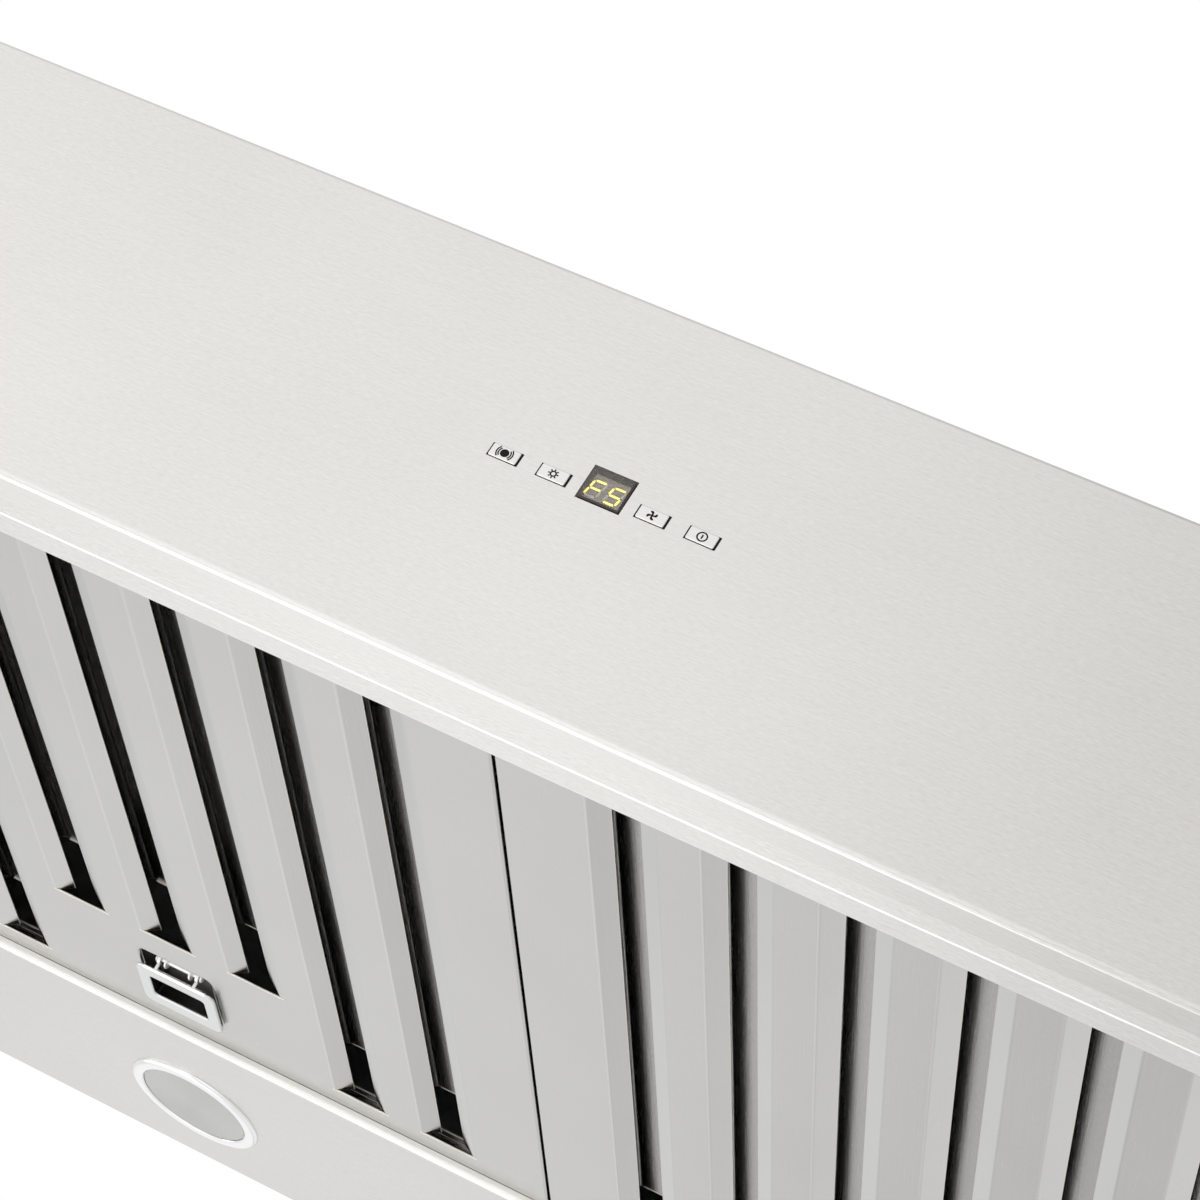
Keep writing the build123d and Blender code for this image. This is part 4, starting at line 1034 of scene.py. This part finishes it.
# Blowers: bare galvanised volutes, black painted motors on galvanised plates,
# and pressed wheels of aluminium sheet, hung from rubber isolators.
black_paint = moulded("black_paint", (0.025, 0.025, 0.026), (0.035, 0.035, 0.036), 0.32, 250.0, 0.35)
rubber = moulded("rubber", (0.02, 0.02, 0.02), (0.035, 0.034, 0.033), 0.75, 500.0, 0.3)
aluminium = brushed_steel("aluminium", (0.78, 0.79, 0.80), (0, 0, 1), 0.33, 0.05, 0.12)
dress(black_paint, "left_motor", "right_motor")
dress(aluminium, "left_blower_wheel", "right_blower_wheel", "left_lamp_body", "right_lamp_body")
dress(rubber, "blower_isolators")

# Damper: two half round flaps of galvanised sheet in the collar. Their rolled
# edges turn on a zinc plated rod, and the air lifts them.
dress(galvanised, "front_damper_flap", "rear_damper_flap")
dress(zinc, "damper_rod")

# Lamps: a polished bezel turned from bar, and a frosted lens with fine rings
# pressed in it, held in the rear panel by the body behind.
chrome, skin, place = new_material("polished_bezel", 1.0, 0.12)
wipe = noise(place, 80.0, 3.0)
feed(skin, "Base Color", wipe.blend((0.80, 0.80, 0.80), (0.86, 0.86, 0.86)))
feed(skin, "Roughness", wipe * 0.08 + 0.08)
frosted, skin, place = new_material("frosted_lens", 0.0, 0.4)
skin.inputs["Transmission Weight"].default_value = 0.35
skin.inputs["IOR"].default_value = 1.49
frost = noise(place, 1600.0, 2.0)
feed(skin, "Base Color", frost.blend((0.84, 0.85, 0.84), (0.92, 0.93, 0.91)))
feed(skin, "Normal", bump(frost, 0.3, 0.0002))
bezel_wall = 6.5
bezel_inside = [(0.0, 0.7), (0.3, 0.25), (1.0, 0.0)]
bezel_outside = [(2.2, 0.0), (1.2, 0.2), (0.5, 0.6), (0.1, 1.1)]
ring_count = 12
ring_step = 1.0
ring_peak, ring_valley = 0.02, 0.28
lens_rim = 0.6
lens_edge = 0.3
for side in sides:
    low, high = millimetres(f"{side}_lamp_bezel")
    centre = ((low.x + high.x) / 2, (low.y + high.y) / 2)
    radius = (high.x - low.x) / 2
    inner = radius - bezel_wall
    mesh = bmesh.new()
    profile = [(inner, high.z)] + [(inner + out, low.z + up) for out, up in bezel_inside]
    profile += [(radius - out, low.z + up) for out, up in bezel_outside] + [(radius, high.z)]
    lathe(mesh, centre, profile, 96, closed=True)
    make_piece(
        f"{side}_bezel_ring", mesh, "hood", (chrome,), nodes=(f"{side}_lamp_bezel",),
    )
    low, high = millimetres(f"{side}_lamp_lens")
    lens_radius = (high.x - low.x) / 2
    mesh = bmesh.new()
    profile = [(0, high.z), (lens_radius, high.z), (lens_radius, low.z + lens_edge)]
    for k in range(ring_count, 0, -1):
        out = (lens_radius - lens_rim) * k / ring_count
        profile += [(out, low.z + ring_peak), (out - ring_step, low.z + ring_valley)]
    profile.append((0, low.z + 0.1))
    lathe(mesh, centre, profile, 96)
    make_piece(
        f"{side}_ringed_lens", mesh, "hood", (frosted,), nodes=(f"{side}_lamp_lens",),
    )

# Electrical parts: a grey moulded gland for the cable, a grey terminal block and
# two motor capacitors, and the white housing of the lamps' driver.
dress(grey_plastic, "cable_gland", "terminal_block", "motor_capacitors")
dress(white_plastic, "led_driver")

# Fasteners: aluminium blind rivets hold the collar and the boxes to the top
# panel, zinc hexagon screws with washers the isolators, and pan head screws the
# rear panel.
top_z = millimetres("top_panel")[1].z
collar_low, collar_high = millimetres("duct_collar")
duct = ((collar_low.x + collar_high.x) / 2, (collar_low.y + collar_high.y) / 2)
collar_sheet = 1.0
rivet_circle = 82.0
rivet_dome = [(0, 0.4), (0.9, 0.4), (1.1, 1.15), (2.4, 0.95), (3.4, 0.35), (3.5, 0.0)]
rivet_insets = {"terminal_box": (10.0, 10.0), "led_driver": (6.0, None), "plenum": (19.0, 5.0)}
mesh = bmesh.new()


def rivet(at, z):
    lathe(mesh, at, [(radius, z + rise) for radius, rise in rivet_dome], 20)


for k in range(8):
    rivet(round_point(duct, rivet_circle, math.pi / 4 * (k + 0.5)), top_z + collar_sheet)
for node, (inset_x, inset_y) in rivet_insets.items():
    low, high = millimetres(node)
    rows_y = (low.y + inset_y, high.y - inset_y) if inset_y else ((low.y + high.y) / 2,)
    for x in (low.x + inset_x, high.x - inset_x):
        for y in rows_y:
            rivet((x, y), top_z)
make_piece("top_rivets", mesh, "hood", (aluminium,))

isolator_circle = 66.0
washer = [(0, 0.0), (6.0, 0.0), (6.0, 1.2), (0, 1.2)]
hexagon = [(4.1, 1.2), (4.1, 3.6), (3.6, 4.0), (0, 4.0)]
mesh = bmesh.new()
for side in sides:
    low, high = millimetres(f"{side}_motor")
    motor = ((low.x + high.x) / 2, (low.y + high.y) / 2)
    for k in range(4):
        at = round_point(motor, isolator_circle, math.pi / 4 * (2 * k + 1))
        for profile, steps in ((washer, 24), (hexagon, 6)):
            lathe(mesh, at, [(radius, top_z + rise) for radius, rise in profile], steps)
make_piece("isolator_screws", mesh, "hood", (zinc,), bevel=0.15)

screw_places = (-330.0, -110.0, 110.0, 330.0)
screw_row = -8.0
pan_head = [(0, 0.75), (0.9, 0.8), (1.0, 1.4), (2.4, 1.25), (3.4, 0.7), (3.6, 0.0)]
mesh = bmesh.new()
for x in screw_places:
    lathe(mesh, (x, screw_row), [(radius, base_z - drop) for radius, drop in pan_head], 24)
make_piece("rear_panel_screws", mesh, "hood", (zinc,))

# Stage: a pale floor far below the hood that shows from above only, and plain
# soft light. The room that metal shows is uneven: its bands are placed for the
# photograph's view, and a white table stands low down under the hood.
floor_half = 6.0
floor_z = -1.9
mesh = bmesh.new()
bmesh.ops.create_grid(mesh, x_segments=8, y_segments=8, size=floor_half)
bmesh.ops.translate(mesh, vec=(0, 0, floor_z), verts=mesh.verts)
floor_data = bpy.data.meshes.new("floor")
mesh.to_mesh(floor_data)
mesh.free()
floor = placed("floor", floor_data)
floor_paint, skin, place = new_material("floor_paint", 0.0, 0.9)
skin.inputs["Base Color"].default_value = (0.88, 0.88, 0.87, 1.0)
under = place.node("ShaderNodeNewGeometry", out=6)
shiny = place.node("ShaderNodeLightPath", out=3)
gone = under.maths("MAXIMUM", shiny)
clear = place.node("ShaderNodeBsdfTransparent")
shader = Shade(place.tree, skin.outputs[0])
both = place.node("ShaderNodeMixShader", {0: gone, 1: shader, 2: clear})
place.tree.links.new(both.socket, place.tree.nodes["Material Output"].inputs["Surface"])
floor_data.materials.append(floor_paint)

plain_level = 0.72
world = bpy.data.worlds.new("room")
bpy.context.scene.world = world
world.use_nodes = True
room = Shade(world.node_tree)
background = world.node_tree.nodes["Background"]
way = room.node("ShaderNodeTexCoord", out=0)
x, y, z = (room.node("ShaderNodeSeparateXYZ", {0: way}, out=axis) for axis in range(3))


def rise(value, start, end):
    sockets = {0: value, 1: start, 2: end}
    return value.node("ShaderNodeMapRange", sockets, interpolation_type="SMOOTHSTEP")


def bell(value, middle, width):
    away = (value - middle) / width
    return math.e ** (0.0 - away * away)


high = rise(z, -0.30, 0.30)
# Along the hood: a paler band, a darker one beside it, and a dim far left
below = 1.0 + 0.07 * bell(x, -0.31, 0.12) - 0.20 * bell(x, -0.09, 0.08)
below = below - 0.09 * rise(0.0 - x, 0.41, 0.52)
above = 0.93 - 0.07 * rise(x, -0.30, -0.10)
paleness = below + (above - below) * high
lower = rise(z, 0.60, 0.30) * high * 0.14
# The white table under the hood, seen by the filters and not straight down
down = rise(0.0 - z, 0.15, 0.40) * (1.0 - rise(0.0 - z, 0.95, 0.985)) * rise(0.0 - x, 0.03, 0.12)
lean = y / (0.0 - z).maths("MAXIMUM", 0.1)
table = rise(lean, -0.45, -0.28) * (1.0 - rise(lean, 0.70, 1.10)) * down * 0.75
near_side = rise(0.0 - y, 0.50, 0.66) * (1.0 - rise(z, -0.25, 0.35)) * 0.16
# The sides that the photograph doesn't show: the wall, the ceiling, the right
unseen = 0.18 * rise(y, 0.1, 0.7) * high + 0.2 * rise(z, 0.65, 0.95) + 0.15 * rise(x, 0.35, 0.8)
seen_by_metal = paleness + lower + table + near_side - unseen
# Plain light for the object, the shaped room for metal, white for the camera
path = [room.node("ShaderNodeLightPath", out=k) for k in (0, 3, 6)]
shiny = path[1].maths("MAXIMUM", path[2])
level = plain_level + shiny * (seen_by_metal - plain_level)
level = level + path[0] * (1.0 - level)
room.tree.links.new(level.socket, background.inputs["Color"])
background.inputs["Strength"].default_value = 1.0


def soft_light(name, energy, size, place, aim):
    """A square lamp turned to its aim, which metal doesn't reflect."""
    data = bpy.data.lights.new(name, "AREA")
    data.energy = energy
    data.size = size
    lamp = placed(name, data)
    turned = (place - aim).to_track_quat("Z", "Y").to_matrix().to_4x4()
    lamp.matrix_world = Matrix.Translation(place) @ turned
    lamp.visible_glossy = False


soft_light("soft_lamp", 55.0, 2.2, Vector((-1.8, -2.6, 2.0)), Vector((0.0, 0.0, 0.0)))
soft_light("low_lamp", 9.0, 0.8, Vector((0.2, -1.7, -0.9)), Vector((0.0, -0.3, 0.0)))

bpy.context.scene.view_settings.view_transform = "Standard"
